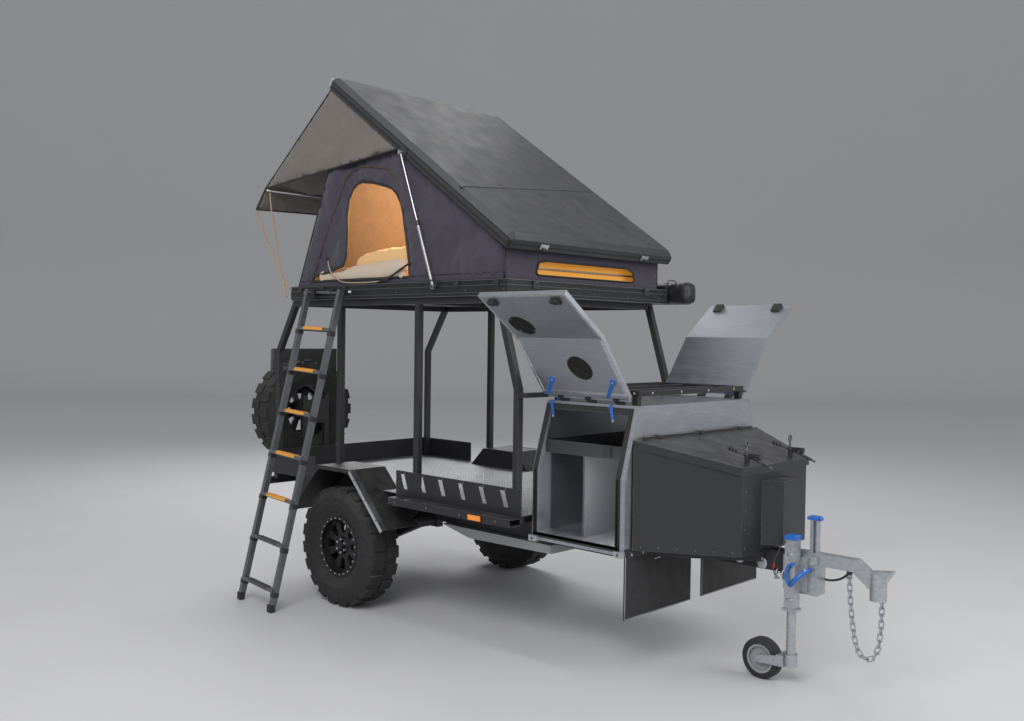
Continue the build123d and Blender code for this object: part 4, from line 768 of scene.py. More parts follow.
def tent_walls():
    """Side walls, sloping rear wall and front wall with its window."""
    for name, side, holes in (("wall_near", -1, [DOOR_HOLE]), ("wall_far", 1, [])):
        wall, rim = cloth_panel(name, WALL, holes, lambda x, z: at(x, side * WALL_Y, z),
                                "canvas_grey", seams=[ARCH[1:-1]])
        drape(wall, list(range(rim)), 0.03, 20, 0.2, 0.024)
        thicken(wall, CANVAS_T)
        tall(wall)
        area = area_of(WALL) - sum(area_of(h) for h in holes)
        if holes:
            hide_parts("tent_canvas")
    lean, rise = WALL_PEAK - WALL_REAR, under_roof(WALL_PEAK) - TRAY_TOP
    rear_len = math.hypot(lean, rise)

    def rear_at(a, b):
        return at(WALL_REAR + lean * b / rear_len, a, TRAY_TOP + rise * b / rear_len)

    back = [(-WALL_Y, 0), (WALL_Y, 0), (WALL_Y, rear_len), (-WALL_Y, rear_len)]
    rear, rim = cloth_panel("wall_rear", back, [], rear_at, "canvas_grey")
    drape(rear, list(range(rim)), 0.02, 20, 0.2, 0.022)
    thicken(rear, CANVAS_T)
    tall(rear)
    top = under_roof(WALL_FRONT) - TRAY_TOP
    front = [(-WALL_Y, 0), (WALL_Y, 0), (WALL_Y, top), (-WALL_Y, top)]
    face, rim = cloth_panel("wall_front", front, [WINDOW],
                            lambda a, b: at(WALL_FRONT, a, TRAY_TOP + b), "canvas_grey", 0.03)
    drape(face, list(range(rim)), 0.015, 16, 0.1, 0.01)
    thicken(face, CANVAS_T)
    tall(face)
    area_of(front) - area_of(WINDOW)


def tent_lining():
    """Warm inner tent seen through the openings; its fabric carries painted light as a glow."""
    inner = WALL_Y - 0.02
    outline = [(LINING_FRONT, TRAY_TOP), (LINING_FRONT, under_roof(LINING_FRONT) - 0.02),
               (LINING_PEAK, under_roof(LINING_PEAK) - 0.03), (LINING_REAR, TRAY_TOP)]

    def folded(x, z):
        """Hanging folds that fade out at the seams."""
        edge = min(x - LINING_REAR, LINING_FRONT - x, z - TRAY_TOP, under_roof(x) - 0.02 - z,
                   0.25) / 0.25
        fold = 0.028 * math.sin(x * 21.0 - z * 7.0 + 2.0 * math.sin(z * 3.1))
        fold += 0.03 * noise.noise(Vector((x * 5.0 - z * 2.5, z * 2.0, 4.2)))
        return at(x, inner - 0.02 * max(0.0, edge) + fold * max(0.0, edge) - 0.012, z)

    far, rim = cloth_panel("lining_far", outline, [], folded, "inner_far", 0.036)
    drape(far, list(range(rim)), 0.03, 20, 0.4, 0.03)
    tall(far)
    area_of(outline)
    height = under_roof(1.30) - 0.02 - TRAY_TOP
    strip = [(-inner, 0), (inner, 0), (inner, height), (-inner, height)]
    front, rim = cloth_panel("lining_front", strip, [],
                             lambda a, b: at(LINING_FRONT, a, TRAY_TOP + b), "inner_orange", 0.05)
    drape(front, list(range(rim)), 0.03, 16, 0.3, 0.012)
    tall(front)


def tent_seams():
    """Zip round the door, piping round the openings, hem bands and corner seams."""
    y = -WALL_Y - 0.003
    kit = Kit()
    kit.tube("zip", [at(x, y, z) for x, z in resample(ARCH, 0.02)], 0.0055, "zip_brown", 8,
             lambda i, a: 1.0 + 0.18 * (i % 2))
    hole = [at(x, y, z) for x, z in resample(DOOR_HOLE + [DOOR_HOLE[0]], 0.03)]
    kit.tube("door_piping", hole, 0.0075, "piping_black", 8)
    for side in SIDES:
        kit.bar("hem", (2.07, 0.006, 0.034), at(0.352, side * (WALL_Y + 0.003), TRAY_TOP + 0.019),
                "canvas_grey", 0.002)
    kit.bar("hem", (0.006, 1.49, 0.026), at(1.395, 0, TRAY_TOP + 0.015), "canvas_grey", 0.002)
    for side in SIDES:
        yy = side * (WALL_Y + 0.003)
        for line in ([(WALL_FRONT, TRAY_TOP + 0.038), (-0.674, TRAY_TOP + 0.038)],
                     [WALL[3], WALL[2]], [WALL[0], WALL[1]]):
            pts = [at(x, yy, z) for x, z in resample(line, 0.05)]
            kit.tube("seam", pts, 0.0045, "piping_black", 8)
    far_arch = [at(x, WALL_Y + 0.003, z) for x, z in resample(ARCH, 0.03)]
    kit.tube("far_zip", far_arch, 0.0055, "zip_brown", 8)
    loop = WINDOW + WINDOW[:1]
    kit.tube("window_piping", [at(1.399, a, TRAY_TOP + b) for a, b in resample(loop, 0.03)],
             0.005, "piping_black", 8)
    crush(kit.join("tent_seams", "trailer"))


def bedding():
    """Mattress, folded quilt in two layers and pillow, each filled and settled."""
    mattress = pad_block("mattress_pad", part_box("mattress"), "mattress_cloth", 0.028, 0.02)
    drape(mattress, [], 0.0, 14, 0.0, 0.008, 2.0)
    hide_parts("mattress")
    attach(mattress, "trailer")
    # name, lower and upper corner, rounding, pressure of the filling, finish
    soft = (("quilt_fold", (-0.465, -0.772, 2.178), (0.515, -0.40, 2.262), 0.034, 3.0,
             "mattress_cloth"),
            ("quilt_under", (-0.44, -0.74, 2.168), (0.52, -0.10, 2.222), 0.02, 2.0,
             "mattress_cloth"),
            # the pillow's inner_quilt finish glows: painted light
            ("pillow", (-0.20, -0.66, 2.255), (0.52, -0.20, 2.385), 0.055, 6.0, "inner_quilt"))
    for name, low, high, soft_edge, pressure, mat in soft:
        pad = pad_block(name, (at(*low), at(*high)), mat, 0.012, soft_edge)
        for vert in pad.data.vertices:
            p = vert.co - AXLE
            lift = (p.z - low[2]) / (high[2] - low[2])
            swell = 0.014 * noise.noise(p * 5.0 + Vector((3.1, 0, 0)))
            swell += 0.006 * noise.noise(p * 14.0)
            ridge = noise.noise(Vector((p.x * 16.0 + p.y * 7.0, p.y * 5.0, 1.7)))
            swell += 0.007 * (1.0 - 2.0 * abs(ridge))
            if name == "quilt_fold":
                along = min(1.0, max(0.0, (p.x + 0.42) / 0.75))
                swell += lift * (0.045 * along - 0.004)
            if name == "pillow":
                along = min(1.0, max(0.0, (p.x + 0.2) / 0.95))
                swell += lift * (0.05 * math.sin(math.pi * along) - 0.03)
            vert.co.z += swell
        drape(pad, [], -0.004, 16, 0.0, 0.02, pressure)
        tall(pad)


def canopy():
    """Awning off the roof's rear edge: sloping top with a short drop, and two gussets."""
    start, bend, hem = (-0.272, 3.5166), (-1.090, 2.9095), (-1.2165, 2.763)
    tip = (0.448, 3.0225)       # front corner of each gusset, on the roof's underside
    half, gusset_flat = 0.785, (1.543, 0.5)
    first = math.dist(start, bend)
    total = first + math.dist(bend, hem)

    def fall(a, b):
        across = max(0.0, math.cos(a / half * math.pi / 2))
        if b < first:
            t = b / first
            x, z = start[0] + (bend[0] - start[0]) * t, start[1] + (bend[1] - start[1]) * t
            z -= 0.03 * math.sin(math.pi * t) * math.sqrt(across)
        else:
            t = (b - first) / (total - first)
            x, z = bend[0] + (hem[0] - bend[0]) * t, bend[1] + (hem[1] - bend[1]) * t
            z += 0.018 * t * across
        return at(x, a, z)

    shape = [(-half, 0), (half, 0), (half, total), (-half, total)]
    top, rim = cloth_panel("canopy_top", shape, [], fall, "canopy_beige", 0.04)
    crease = [v.index for v in top.data.vertices if abs((v.co - at(bend[0], 0, bend[1])).z) < 0.012
              and abs(v.co.x - at(bend[0], 0, 0).x) < 0.02]
    drape(top, list(range(rim)) + crease, 0.018, 20, 0.4, 0.035)
    thicken(top, 0.003)
    panels = []
    gusset = [start, bend, tip]
    for side in SIDES:
        def flank(x, z, side=side):
            return at(x, side * half, z)
        panel, rim = cloth_panel("canopy_side", gusset, [], flank, "canopy_beige", 0.035)
        drape(panel, list(range(rim)), 0.02, 20, 0.2, 0.02)
        thicken(panel, 0.003)
        panels.append(panel)
    # points at the roof's rear edge for the top and along its sides for the gussets
    gather = ((-0.803, 0, -0.596), tuple(at(start[0], 0, start[1])), 0.03)
    tuck = ((-0.725, 0, -0.688), tuple(at(-0.2267, 0, 3.5825)), 0.02)

    def fold(piece, way):
        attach(piece, "roof")
        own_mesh(piece)

    fold(top, gather)
    for panel in panels:
        fold(panel, tuck)
    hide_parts("tent_canopy")
    for panel in panels:
        min(area_of(gusset), gusset_flat[0] * gusset_flat[1])
    tapes, edges = Kit(), Kit()
    for side in SIDES:
        y = side * (half + 0.001)
        for line, group in (((bend, tip), edges), ((start, bend), tapes),
                            ((bend, hem), tapes)):
            pts = [at(x, y, z) for x, z in resample(list(line), 0.06)]
            group.tube("tape", pts, 0.006, "piping_black", 8)
    edge = [at(hem[0], a, hem[1] + 0.018 * math.cos(a / half * math.pi / 2))
            for a in (i / 20 * half for i in range(-20, 21))]
    tapes.tube("hem", edge, 0.007, "zip_brown", 8)
    tapes.tube("pole", [at(bend[0] + 0.012, a, bend[1] - 0.012) for a in (-half, 0, half)], 0.008,
               "bright_trim", 10)
    fold(tapes.join("canopy_tapes", "roof"), gather)
    fold(edges.join("gusset_tapes", "roof"), tuck)


def ropes():
    """Twisted cords from the canopy's corners to the rear of the tray."""
    kit = Kit()
    for side in SIDES:
        y = side * 0.78
        lines = [[(-1.2145, y, 2.757), (-1.15, y * 1.004, 2.645), (-1.00, y * 1.006, 2.42),
                  (-0.885, y * 1.008, 2.28), (-0.839, side * 0.792, 2.222),
                  (-0.752, side * 0.792, 2.150)],
                 [(-1.04, y, 2.874), (-1.022, y * 1.002, 2.77), (-0.985, y * 1.004, 2.64),
                  (-0.935, y * 1.006, 2.46), (-0.849, side * 0.79, 2.235)],
                 [(-0.839, side * 0.792, 2.222), (-0.81, side * 0.793, 2.16),
                  (-0.79, side * 0.793, 2.09)]]
        for line in lines:
            path = resample([tuple(p) for p in smooth_path([at(*p) for p in line], 6)], 0.006)
            path = [Vector(p) for p in path]
            kit.tube("cord", path, 0.0055, "rope_tan", 12,
                     lambda i, a: 1.0 + 0.16 * math.cos(3 * a - i * 0.9))
        kit.lathe("knot", [(0.004, -0.016), (0.010, -0.010), (0.012, 0), (0.010, 0.010),
                           (0.004, 0.016)], at(-0.842, side * 0.793, 2.226), (0.55, 0, -0.8),
                  "rope_tan", 16)
    piece = kit.join("guy_cords", "trailer")
    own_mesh(piece)
    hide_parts("guy_ropes")


def awning_roll():
    """Crinkled vinyl cover of the rolled awning, with its straps."""
    low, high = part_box("awning_bag")
    steps, sides = 150, 40
    cy, cz = (low[1] + high[1]) / 2, (low[2] + high[2]) / 2
    ry, rz = (high[1] - low[1]) / 2 - 0.004, (high[2] - low[2]) / 2 - 0.004
    straps = [low[0] + (high[0] - low[0]) * t for t in (0.08, 0.3, 0.52, 0.74, 0.93)]
    verts = []
    for i in range(steps + 1):
        x = low[0] + (high[0] - low[0]) * i / steps
        end = min(1.0, min(x - low[0], high[0] - x) / 0.03)
        shrink = 0.86 + 0.14 * math.sqrt(end)
        pinch = 1.0 - 0.05 * max(math.exp(-((x - s) / 0.02) ** 2) for s in straps)
        for a in spun(sides):
            c, s = math.cos(a), math.sin(a)
            square = 1.0 / max(abs(c), abs(s)) ** 0.62
            n = noise.noise(Vector((x * 9.0, c * 1.6, s * 1.6))) * 0.05
            n += noise.noise(Vector((x * 24.0, c * 3.0, s * 3.0))) * 0.03
            r = min(1.0, (0.80 + 0.10 * (square - 1)) * shrink * pinch * (1 + n) * 1.08)
            verts.append(Vector((x, cy + c * ry * r * min(square, 1.12), cz + s * rz * r
                                 * min(square, 1.12) - 0.004)))
    faces = bands(steps + 1, sides)
    for first in (0, steps * sides):
        centre = len(verts)
        verts.append(sum((verts[first + k] for k in range(sides)), Vector()) / sides)
        verts[-1].x += 0.006 if first else -0.002
        for k in range(sides):
            tri = (first + k, first + (k + 1) % sides, centre)
            faces.append(tri if first else tri[::-1])
    bag = place_mesh("awning_roll", verts, faces, "vinyl_black")
    drape(bag, [], 0.02, 14, 0.1, 0.008, 0.6)
    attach(bag, "trailer")
    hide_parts("awning_bag")
    kit = Kit()
    for s in straps:
        ring = []
        for a in spun(32, 1):
            c, t = math.cos(a), math.sin(a)
            reach = 0.93 * min(1.12, 1.0 / max(abs(c), abs(t)) ** 0.62)
            ring.append(Vector((s, cy + c * ry * reach, cz + t * rz * reach)))
        kit.tube("strap", ring, 0.004, "bag_black", 8)
        kit.bar("buckle", (0.03, 0.008, 0.04), Vector((s, high[1] - 0.008, cz)), "latch_black",
                0.002)
    kit.join("awning_straps", "trailer")


def bin_bag():
    """Canvas bag on the back of the spare wheel, with its lid and straps."""
    low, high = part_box("wheel_bag")
    across, up = 40, 30
    depth = high[0] - low[0]
    verts, faces = [], []
    for back in (0, 1):
        for j in range(up + 1):
            t = j / up
            for i in range(across + 1):
                s = i / across
                y = low[1] + 0.005 + (high[1] - low[1] - 0.01) * s
                z = low[2] + 0.01 + (high[2] - low[2] - 0.02) * t
                edge = min(s, 1 - s, t * 1.2, (1 - t) * 1.2)
                puff = min(1.0, edge / 0.1) ** 0.5
                fold = noise.noise(Vector((y * 7, z * 9, 2.0))) * 0.10
                x = high[0] - 0.006 - back * (depth * 0.82) * (0.35 + 0.62 * puff) * (1 + fold)
                verts.append(Vector((max(low[0] + 0.002, x), y, z)))
    size = (across + 1) * (up + 1)
    for j in range(up):
        for i in range(across):
            a = j * (across + 1) + i
            quad = (a, a + 1, a + across + 2, a + across + 1)
            faces.append(quad)
            faces.append(tuple(q + size for q in quad[::-1]))
    loop = [i for i in range(across + 1)]
    loop += [j * (across + 1) + across for j in range(1, up + 1)]
    loop += [up * (across + 1) + i for i in range(across - 1, -1, -1)]
    loop += [j * (across + 1) for j in range(up - 1, 0, -1)]
    for a, b in zip(loop, loop[1:] + loop[:1]):
        faces.append((b, a, a + size, b + size))
    bag = place_mesh("bin_bag", verts, faces, "bag_black")
    bm = bmesh.new()
    bm.from_mesh(bag.data)
    bmesh.ops.recalc_face_normals(bm, faces=bm.faces)
    bm.to_mesh(bag.data)
    bm.free()
    drape(bag, [], 0.015, 14, 0.1, 0.01, 0.8)
    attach(bag, "trailer")
    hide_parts("wheel_bag")
    kit = Kit()
    x = low[0] - 0.001
    for s in (0.25, 0.75):
        y = low[1] + (high[1] - low[1]) * s
        pts = [Vector((x + 0.012, y, high[2] - 0.02 - i * 0.03)) for i in range(9)]
        kit.tube("strap", pts, 0.006, "rubber_black", 8)
        kit.bar("buckle", (0.012, 0.045, 0.03), Vector((x + 0.014, y, high[2] - 0.17)),
                "latch_black", 0.002)
    kit.join("bin_bag_straps", "trailer")


# ------------------------------------------------------------------ small fittings
ROOF_PIVOT = (1.364, 2.3761)
ROOF_TURN = math.radians(34.5)
ROOF_Y = 0.8                    # half the roof's width
DOOR_PIVOT = (-0.583114, 1.488034)
DOOR_TURN = math.radians(126.0)
DOOR_Y = -0.692                 # inner face of the shut near door below its knee
CAB_Y = 0.684                   # half the cabinet's width below the knee
KNEE_Z = 1.070
SLOPE_IN, SLOPE_UP, SLOPE_LEN = 0.117, 0.390, 0.40717   # cabinet side from knee to roof edge
STAY_X = (1.648, 2.083)
VENT_LOW, VENT_HIGH = (1.720, 0.960), (1.955, 1.265)    # x and z on the shut door
LADDER_TOP, LADDER_FOOT = Vector((-0.262, -0.842, 2.112)), Vector((-0.368, -1.296, 0.0))
LADDER_LENGTH = (LADDER_TOP - LADDER_FOOT).length
LADDER_YAW = math.radians(-4)
LADDER_RAIL_X = 0.21
RUNG_FIRST, RUNG_STEP = 0.140, 0.286                    # heights above the ground
FOOT_SIZE = (0.05, 0.036, 0.052)


def strip_on(where, x0, x1, a0, a1, *rest):
    """Corners of a strip from x0 to x1 and a0 to a1 on a surface that where() gives."""
    return [where(x0, a0, *rest), where(x1, a0, *rest), where(x1, a1, *rest), where(x0, a1, *rest)]


def turned(point, pivot, angle):
    """A (a, b) pair turned about a pivot pair."""
    c, s = math.cos(angle), math.sin(angle)
    a, b = point[0] - pivot[0], point[1] - pivot[1]
    return pivot[0] + a * c - b * s, pivot[1] + a * s + b * c


def on_roof(x, y, z):
    """Where the open roof holds a point of the level, shut roof."""
    x, z = turned((x, z), ROOF_PIVOT, -ROOF_TURN)
    return at(x, y, z)


def on_door(x, y, z, side=-1):
    """Where an open door holds a point of the shut near door, or of its mirror image."""
    y, z = turned((y, z), DOOR_PIVOT, -DOOR_TURN)
    return at(x, -side * y, z)


LADDER_UP = (LADDER_TOP - LADDER_FOOT).normalized()
LADDER_X = Vector((math.cos(LADDER_YAW), math.sin(LADDER_YAW), 0.0))
LADDER_X = (LADDER_X - LADDER_UP * LADDER_X.dot(LADDER_UP)).normalized()
LADDER_TURN = Matrix((LADDER_X, LADDER_UP.cross(LADDER_X), LADDER_UP)).transposed()


def on_ladder(x, y, z):
    return at(*LADDER_TOP) + LADDER_TURN @ Vector((x, y, z))


STUD_SINK = 0.001       # how far a stud's foot stands in what carries it


def studs(name, places, radius, height, mat, body, sides=6):
    """Bolt heads, rivets or discs, each a short prism with a softened rim, as one piece."""
    verts, faces = [], []
    rows = ((1.0, 0.0), (1.0, 0.7), (0.8, 1.0), (0.3, 1.04))
    for centre, axis in places:
        axis = Vector(axis).normalized()
        u = axis.orthogonal().normalized()
        v = axis.cross(u)
        first = len(verts)
        for r, t in rows:
            verts += [centre + axis * (t * height - STUD_SINK)
                      + (u * math.cos(a) + v * math.sin(a)) * r * radius for a in spun(sides)]
        faces += bands(len(rows), sides, first) + caps(first, len(verts), sides)
    obj = place_mesh(name, verts, faces, mat, sides > 8)
    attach(obj, body)
    return obj


def roof_fittings():
    """Edge bands, seam, skirt rivets, corner caps, closing latches and a rear handle."""
    x0, x1, z0, z1 = -0.654, 1.456, 2.3921, 2.4841      # the shut roof's box
    b = 0.034                                           # its bevel
    kit = Kit()
    for side in SIDES:
        y = side * ROOF_Y
        yi = side * (ROOF_Y - b)
        ring = [on_roof(x0 + 0.04, y, z1 - b), on_roof(x1 - 0.04, y, z1 - b),
                on_roof(x1 - 0.04, yi, z1), on_roof(x0 + 0.04, yi, z1)]
        kit.plate("band", ring[::-side], 0.0022, "roof_band")
        for a, c in ((0.012, 0.006), (0.052, 0.004)):
            low = strip_on(lambda x, z: on_roof(x, y, z), x0 + 0.01, x1 - 0.01, z0 + a, z0 + a + c)
            kit.plate("rib", low[::-side], 0.003, "tent_extrusion")
    for x, inner in ((x0, x0 + b), (x1, x1 - b)):
        ring = [on_roof(x, -0.76, z1 - b), on_roof(inner, -0.76, z1), on_roof(inner, 0.76, z1),
                on_roof(x, 0.76, z1 - b)]
        kit.plate("band", ring if x == x1 else ring[::-1], 0.0022, "roof_band")
    seam = [on_roof(x, y, z1 + 0.0004) for x, y in ((0.898, -0.765), (0.756, 0.0), (0.614, 0.765))]
    kit.tube("seam", seam, 0.002, "roof_charcoal", 8)
    tilt = Matrix.Rotation(ROOF_TURN, 3, "Y")
    for side in SIDES:
        kit.bar("cap", (0.024, 0.024, 0.066), on_roof(x0 + 0.008, side * 0.7915, z0 + 0.036),
                "bright_trim", 0.004, tilt)
        kit.bar("cap", (0.022, 0.022, 0.05), on_roof(x1 - 0.008, side * 0.7915, z0 + 0.028),
                "tent_extrusion", 0.004, tilt)
    kit.bar("clip", (0.03, 0.02, 0.008), on_roof(0.90, -0.775, z1 - 0.004), "latch_black", 0.002,
            tilt)
    for y in (-0.5, 0.5):
        kit.bar("latch", (0.012, 0.07, 0.034), on_roof(x1 + 0.005, y, z0 + 0.03), "bright_trim",
                0.003, tilt)
        kit.bar("latch_tab", (0.02, 0.03, 0.012), on_roof(x1 + 0.012, y, z0 + 0.02),
                "latch_black", 0.002, tilt)
    for y in (-0.06, 0.06):
        kit.bar("foot", (0.012, 0.02, 0.02), on_roof(x0 - 0.006, y, z0 + 0.045), "latch_black",
                0.003, tilt)
    grip = [on_roof(x0 - d, y, z0 + 0.045) for d, y in
            ((0.004, -0.06), (0.02, -0.055), (0.024, 0.0), (0.02, 0.055), (0.004, 0.06))]
    kit.tube("grip", smooth_path(grip), 0.007, "latch_black", 10)
    kit.join("roof_fittings", "roof")
    down = on_roof(0, 0, 0) - on_roof(0, 0, 1)
    rivets = []
    for side in SIDES:
        for i in range(11):
            rivets.append((on_roof(x0 + 0.09 + i * 0.19, side * ROOF_Y, z0 + 0.04), (0, side, 0)))
    ahead = on_roof(1, 0, 0) - on_roof(0, 0, 0)
    for i in range(9):
        rivets.append((on_roof(x1, -0.72 + i * 0.18, z0 + 0.044), ahead))
    rivets += [(on_roof(x, side * 0.783, z1 - 0.016), Vector((0, side * 0.7, 0)) - down * 0.7)
               for side in SIDES for x in (x0 + 0.02, x1 - 0.02)]
    studs("roof_rivets", rivets, 0.0045, 0.0025, "cast_grey", "roof", 12)
    for side, name in NAMED_SIDES:
        foot, head = Vector((0.846, side * 0.822, 2.126)), Vector((0.519, side * 0.822, 2.988))
        along = (head - foot).normalized()
        bore, collar, gland = 0.0135, 0.017, 0.0155
        kit = Kit()
        kit.lathe("collar", [(bore, 0.0), (collar, 0.004), (collar, 0.03), (bore, 0.034),
                             (bore, 0.0)], AXLE + foot + along * 0.41, along, "latch_black", 20)
        kit.lathe("gland", [(bore, 0.0), (gland, 0.003), (gland, 0.012), (bore, 0.015),
                            (bore, 0.0)], AXLE + foot + along * 0.03, along, "latch_black", 20)
        kit.join("strut_collars_" + name, "strut_tube_" + name)


def tray_fittings():
    """Toggles, tags and clasps on the tent tray, screw heads along its grooves."""
    kit = Kit()
    for x in (-0.62, -0.36, -0.10, 1.02, 1.36):
        kit.bar("toggle", (0.05, 0.008, 0.022), at(x, -0.79, 2.142), "latch_black", 0.002)
        kit.bar("toggle_grip", (0.016, 0.012, 0.034), at(x + 0.012, -0.792, 2.138), "latch_black",
                0.003)
    for x, mat in ((-0.56, "orange_strip"), (-0.30, "orange_strip"), (-0.04, "white_trim")):
        kit.bar("tag", (0.03, 0.003, 0.014), at(x, -0.7895, 2.115), mat, 0.0008)
    for y in (-0.55, 0.55):
        kit.bar("clasp", (0.01, 0.05, 0.05), at(1.456, y, 2.135), "latch_black", 0.002)
        kit.bar("clasp_pin", (0.012, 0.03, 0.012), at(1.459, y, 2.152), "cast_grey", 0.002)
    # the ribs take the lighter roof_band finish to show the light lines along the tray: a painted
    # highlight
    for z, high in ((2.067, 0.005), (2.086, 0.0035), (2.128, 0.0035), (2.159, 0.005)):
        for side in SIDES:
            kit.bar("rib", (2.19, 0.0025, high), at(0.3555, side * 0.7885, z), "roof_band", 0.0008)
        for x in (-0.7415, 1.4525):
            kit.bar("rib", (0.0025, 1.57, high), at(x, 0, z), "roof_band", 0.0008)
    kit.join("tray_fittings", "trailer")
    heads = [(at(x, -0.788, 2.10), (0, -1, 0)) for x in (-0.68, -0.02, 0.45, 1.10, 1.42)]
    heads += [(at(1.452, y, 2.10), (1, 0, 0)) for y in (-0.7, -0.35, 0.0, 0.35, 0.7)]
    heads += [(at(-0.741, y, 2.10), (-1, 0, 0)) for y in (-0.7, -0.35, 0.0, 0.35, 0.7)]
    studs("tray_screws", heads, 0.006, 0.003, "cast_grey", "trailer", 12)


def door_fittings(side, name):
    """Vent discs, edge flanges, lips, blue stays and rivets of one door."""
    body = "door_" + name
    dy, dz = -SLOPE_UP / SLOPE_LEN, SLOPE_IN / SLOPE_LEN
    inward = on_door(0, 1, 0, side) - on_door(0, 0, 0, side)
    slope_in = on_door(0, -dy, -dz, side) - on_door(0, 0, 0, side)
    rings = [(0.079, 0.0), (0.079, 0.006), (0.074, 0.0075), (0.071, 0.004), (0.062, 0.004),
             (0.059, 0.0065), (0.050, 0.0065), (0.047, 0.0035), (0.036, 0.0035), (0.033, 0.006),
             (0.022, 0.006), (0.019, 0.003), (0.004, 0.003)]
    low = on_door(VENT_LOW[0], DOOR_Y - 0.0118, VENT_LOW[1], side)
    mid = (VENT_HIGH[0], -0.6255 + dy * 0.0198, VENT_HIGH[1] + dz * 0.0198)
    kit = Kit()
    kit.lathe("vent", rings, low, inward, "vent_black", 48)
    kit.lathe("vent", rings, on_door(*mid, side), slope_in, "vent_black", 48)

    def low_at(x, z, lift=0.0):
        return on_door(x, DOOR_Y + lift, z, side)

    def high_at(x, s, lift=0.0):
        """s runs from the knee to the hinge along the sloping half."""
        y = -CAB_Y + SLOPE_IN * s / SLOPE_LEN
        z = KNEE_Z + SLOPE_UP * s / SLOPE_LEN
        out = 0.008 - lift
        return on_door(x, y + dy * out, z + dz * out, side)

    strips = []
    for x0, x1 in ((1.590, 1.604), (2.186, 2.200)):
        strips.append(strip_on(low_at, x0, x1, 0.70, 1.06))
        strips.append(strip_on(high_at, x0, x1, 0.012, 0.385))
    strips.append(strip_on(low_at, 1.604, 2.186, 0.698, 0.712))
    strips.append(strip_on(high_at, 1.604, 2.186, 0.371, 0.385))
    for ring in strips:     # the near door's rings run the other way round
        kit.plate("flange", ring[::side], 0.0025, "bright_trim", 0.0008)
    for x0, x1 in ((1.600, 1.650), (1.705, 1.86), (1.885, 2.05), (2.135, 2.19)):
        ring = strip_on(lambda x, y: on_door(x, y, 0.6965, side), x0, x1, -0.6935, -0.7165)
        kit.plate("lip", ring[::side], 0.002, "white_trim", 0.0005)
    for x in STAY_X:
        ring = [high_at(x + 0.048, 0.288, 0.0002), high_at(x + 0.074, 0.288, 0.0002),
                high_at(x - 0.010, 0.403, 0.0002), high_at(x - 0.038, 0.403, 0.0002)]
        kit.plate("stay", ring[::side], 0.0025, "paint_blue")
        kit.lathe("stay_pin", [(0.006, 0.0), (0.006, 0.0085), (0.003, 0.0095)],
                  high_at(x + 0.060, 0.292, 0.0), slope_in, "cast_bright", 16)
        kit.lathe("stay_boss", [(0.021, 0.0), (0.021, 0.004), (0.017, 0.0065)],
                  high_at(x + 0.060, 0.292, 0.0), slope_in, "paint_blue", 24)
    kit.join("door_fittings_" + name, body)
    heads = [(low_at(x, z), inward) for x in (1.597, 2.193) for z in (0.74, 0.84, 0.94, 1.04)]
    heads += [(high_at(x, s), slope_in) for x in (1.597, 2.193) for s in (0.05, 0.15, 0.25, 0.35)]
    heads = [(p + Vector(n).normalized() * 0.002, n) for p, n in heads]
    studs("door_rivets_" + name, heads, 0.005, 0.0022, "cast_bright", body, 12)
    screws = [(low_at(VENT_LOW[0] + 0.072 * math.cos(a), VENT_LOW[1] + 0.072 * math.sin(a),
                      -0.006), inward)
              for a in (math.radians(45 + 90 * i) for i in range(4))]
    studs("vent_screws_" + name, screws, 0.004, 0.003, "cast_bright", body, 12)


def seal_band(kit, side):
    """Wide rubber band round one door opening, in two ribs."""
    low, knee, top, edge = 0.678, (CAB_Y, KNEE_Z), (0.5805, 1.415), (0.5716, 1.4445)
    lean = Vector((0, side * SLOPE_UP, SLOPE_IN)).normalized()

    def strip(line):
        ring = [at(*p) for p in line]
        kit.plate("seal", ring[::-side], 0.003, "rubber_black")

    for x0, x1 in ((1.580, 1.611), (2.179, 2.208)):
        strip([(x0, side * knee[0], low), (x1, side * knee[0], low),
               (x1, side * knee[0], knee[1]), (x0, side * knee[0], knee[1])])
        strip([(x0, side * knee[0], knee[1]), (x1, side * knee[0], knee[1]),
               (x1, side * edge[0], edge[1]), (x0, side * edge[0], edge[1])])
        for x in (x0 + 0.006, x1 - 0.006):
            path = [at(x, side * 0.6868, 0.681), at(x, side * 0.6868, KNEE_Z)]
            path.append(at(x, side * edge[0], edge[1]) + lean * 0.0028)
            kit.tube("rib", path, 0.0022, "piping_black", 8)
    for (y0, z0), (y1, z1) in (((CAB_Y, low), (CAB_Y, 0.706)), (top, edge)):
        strip([(1.580, side * y0, z0), (2.208, side * y0, z0), (2.208, side * y1, z1),
               (1.580, side * y1, z1)])


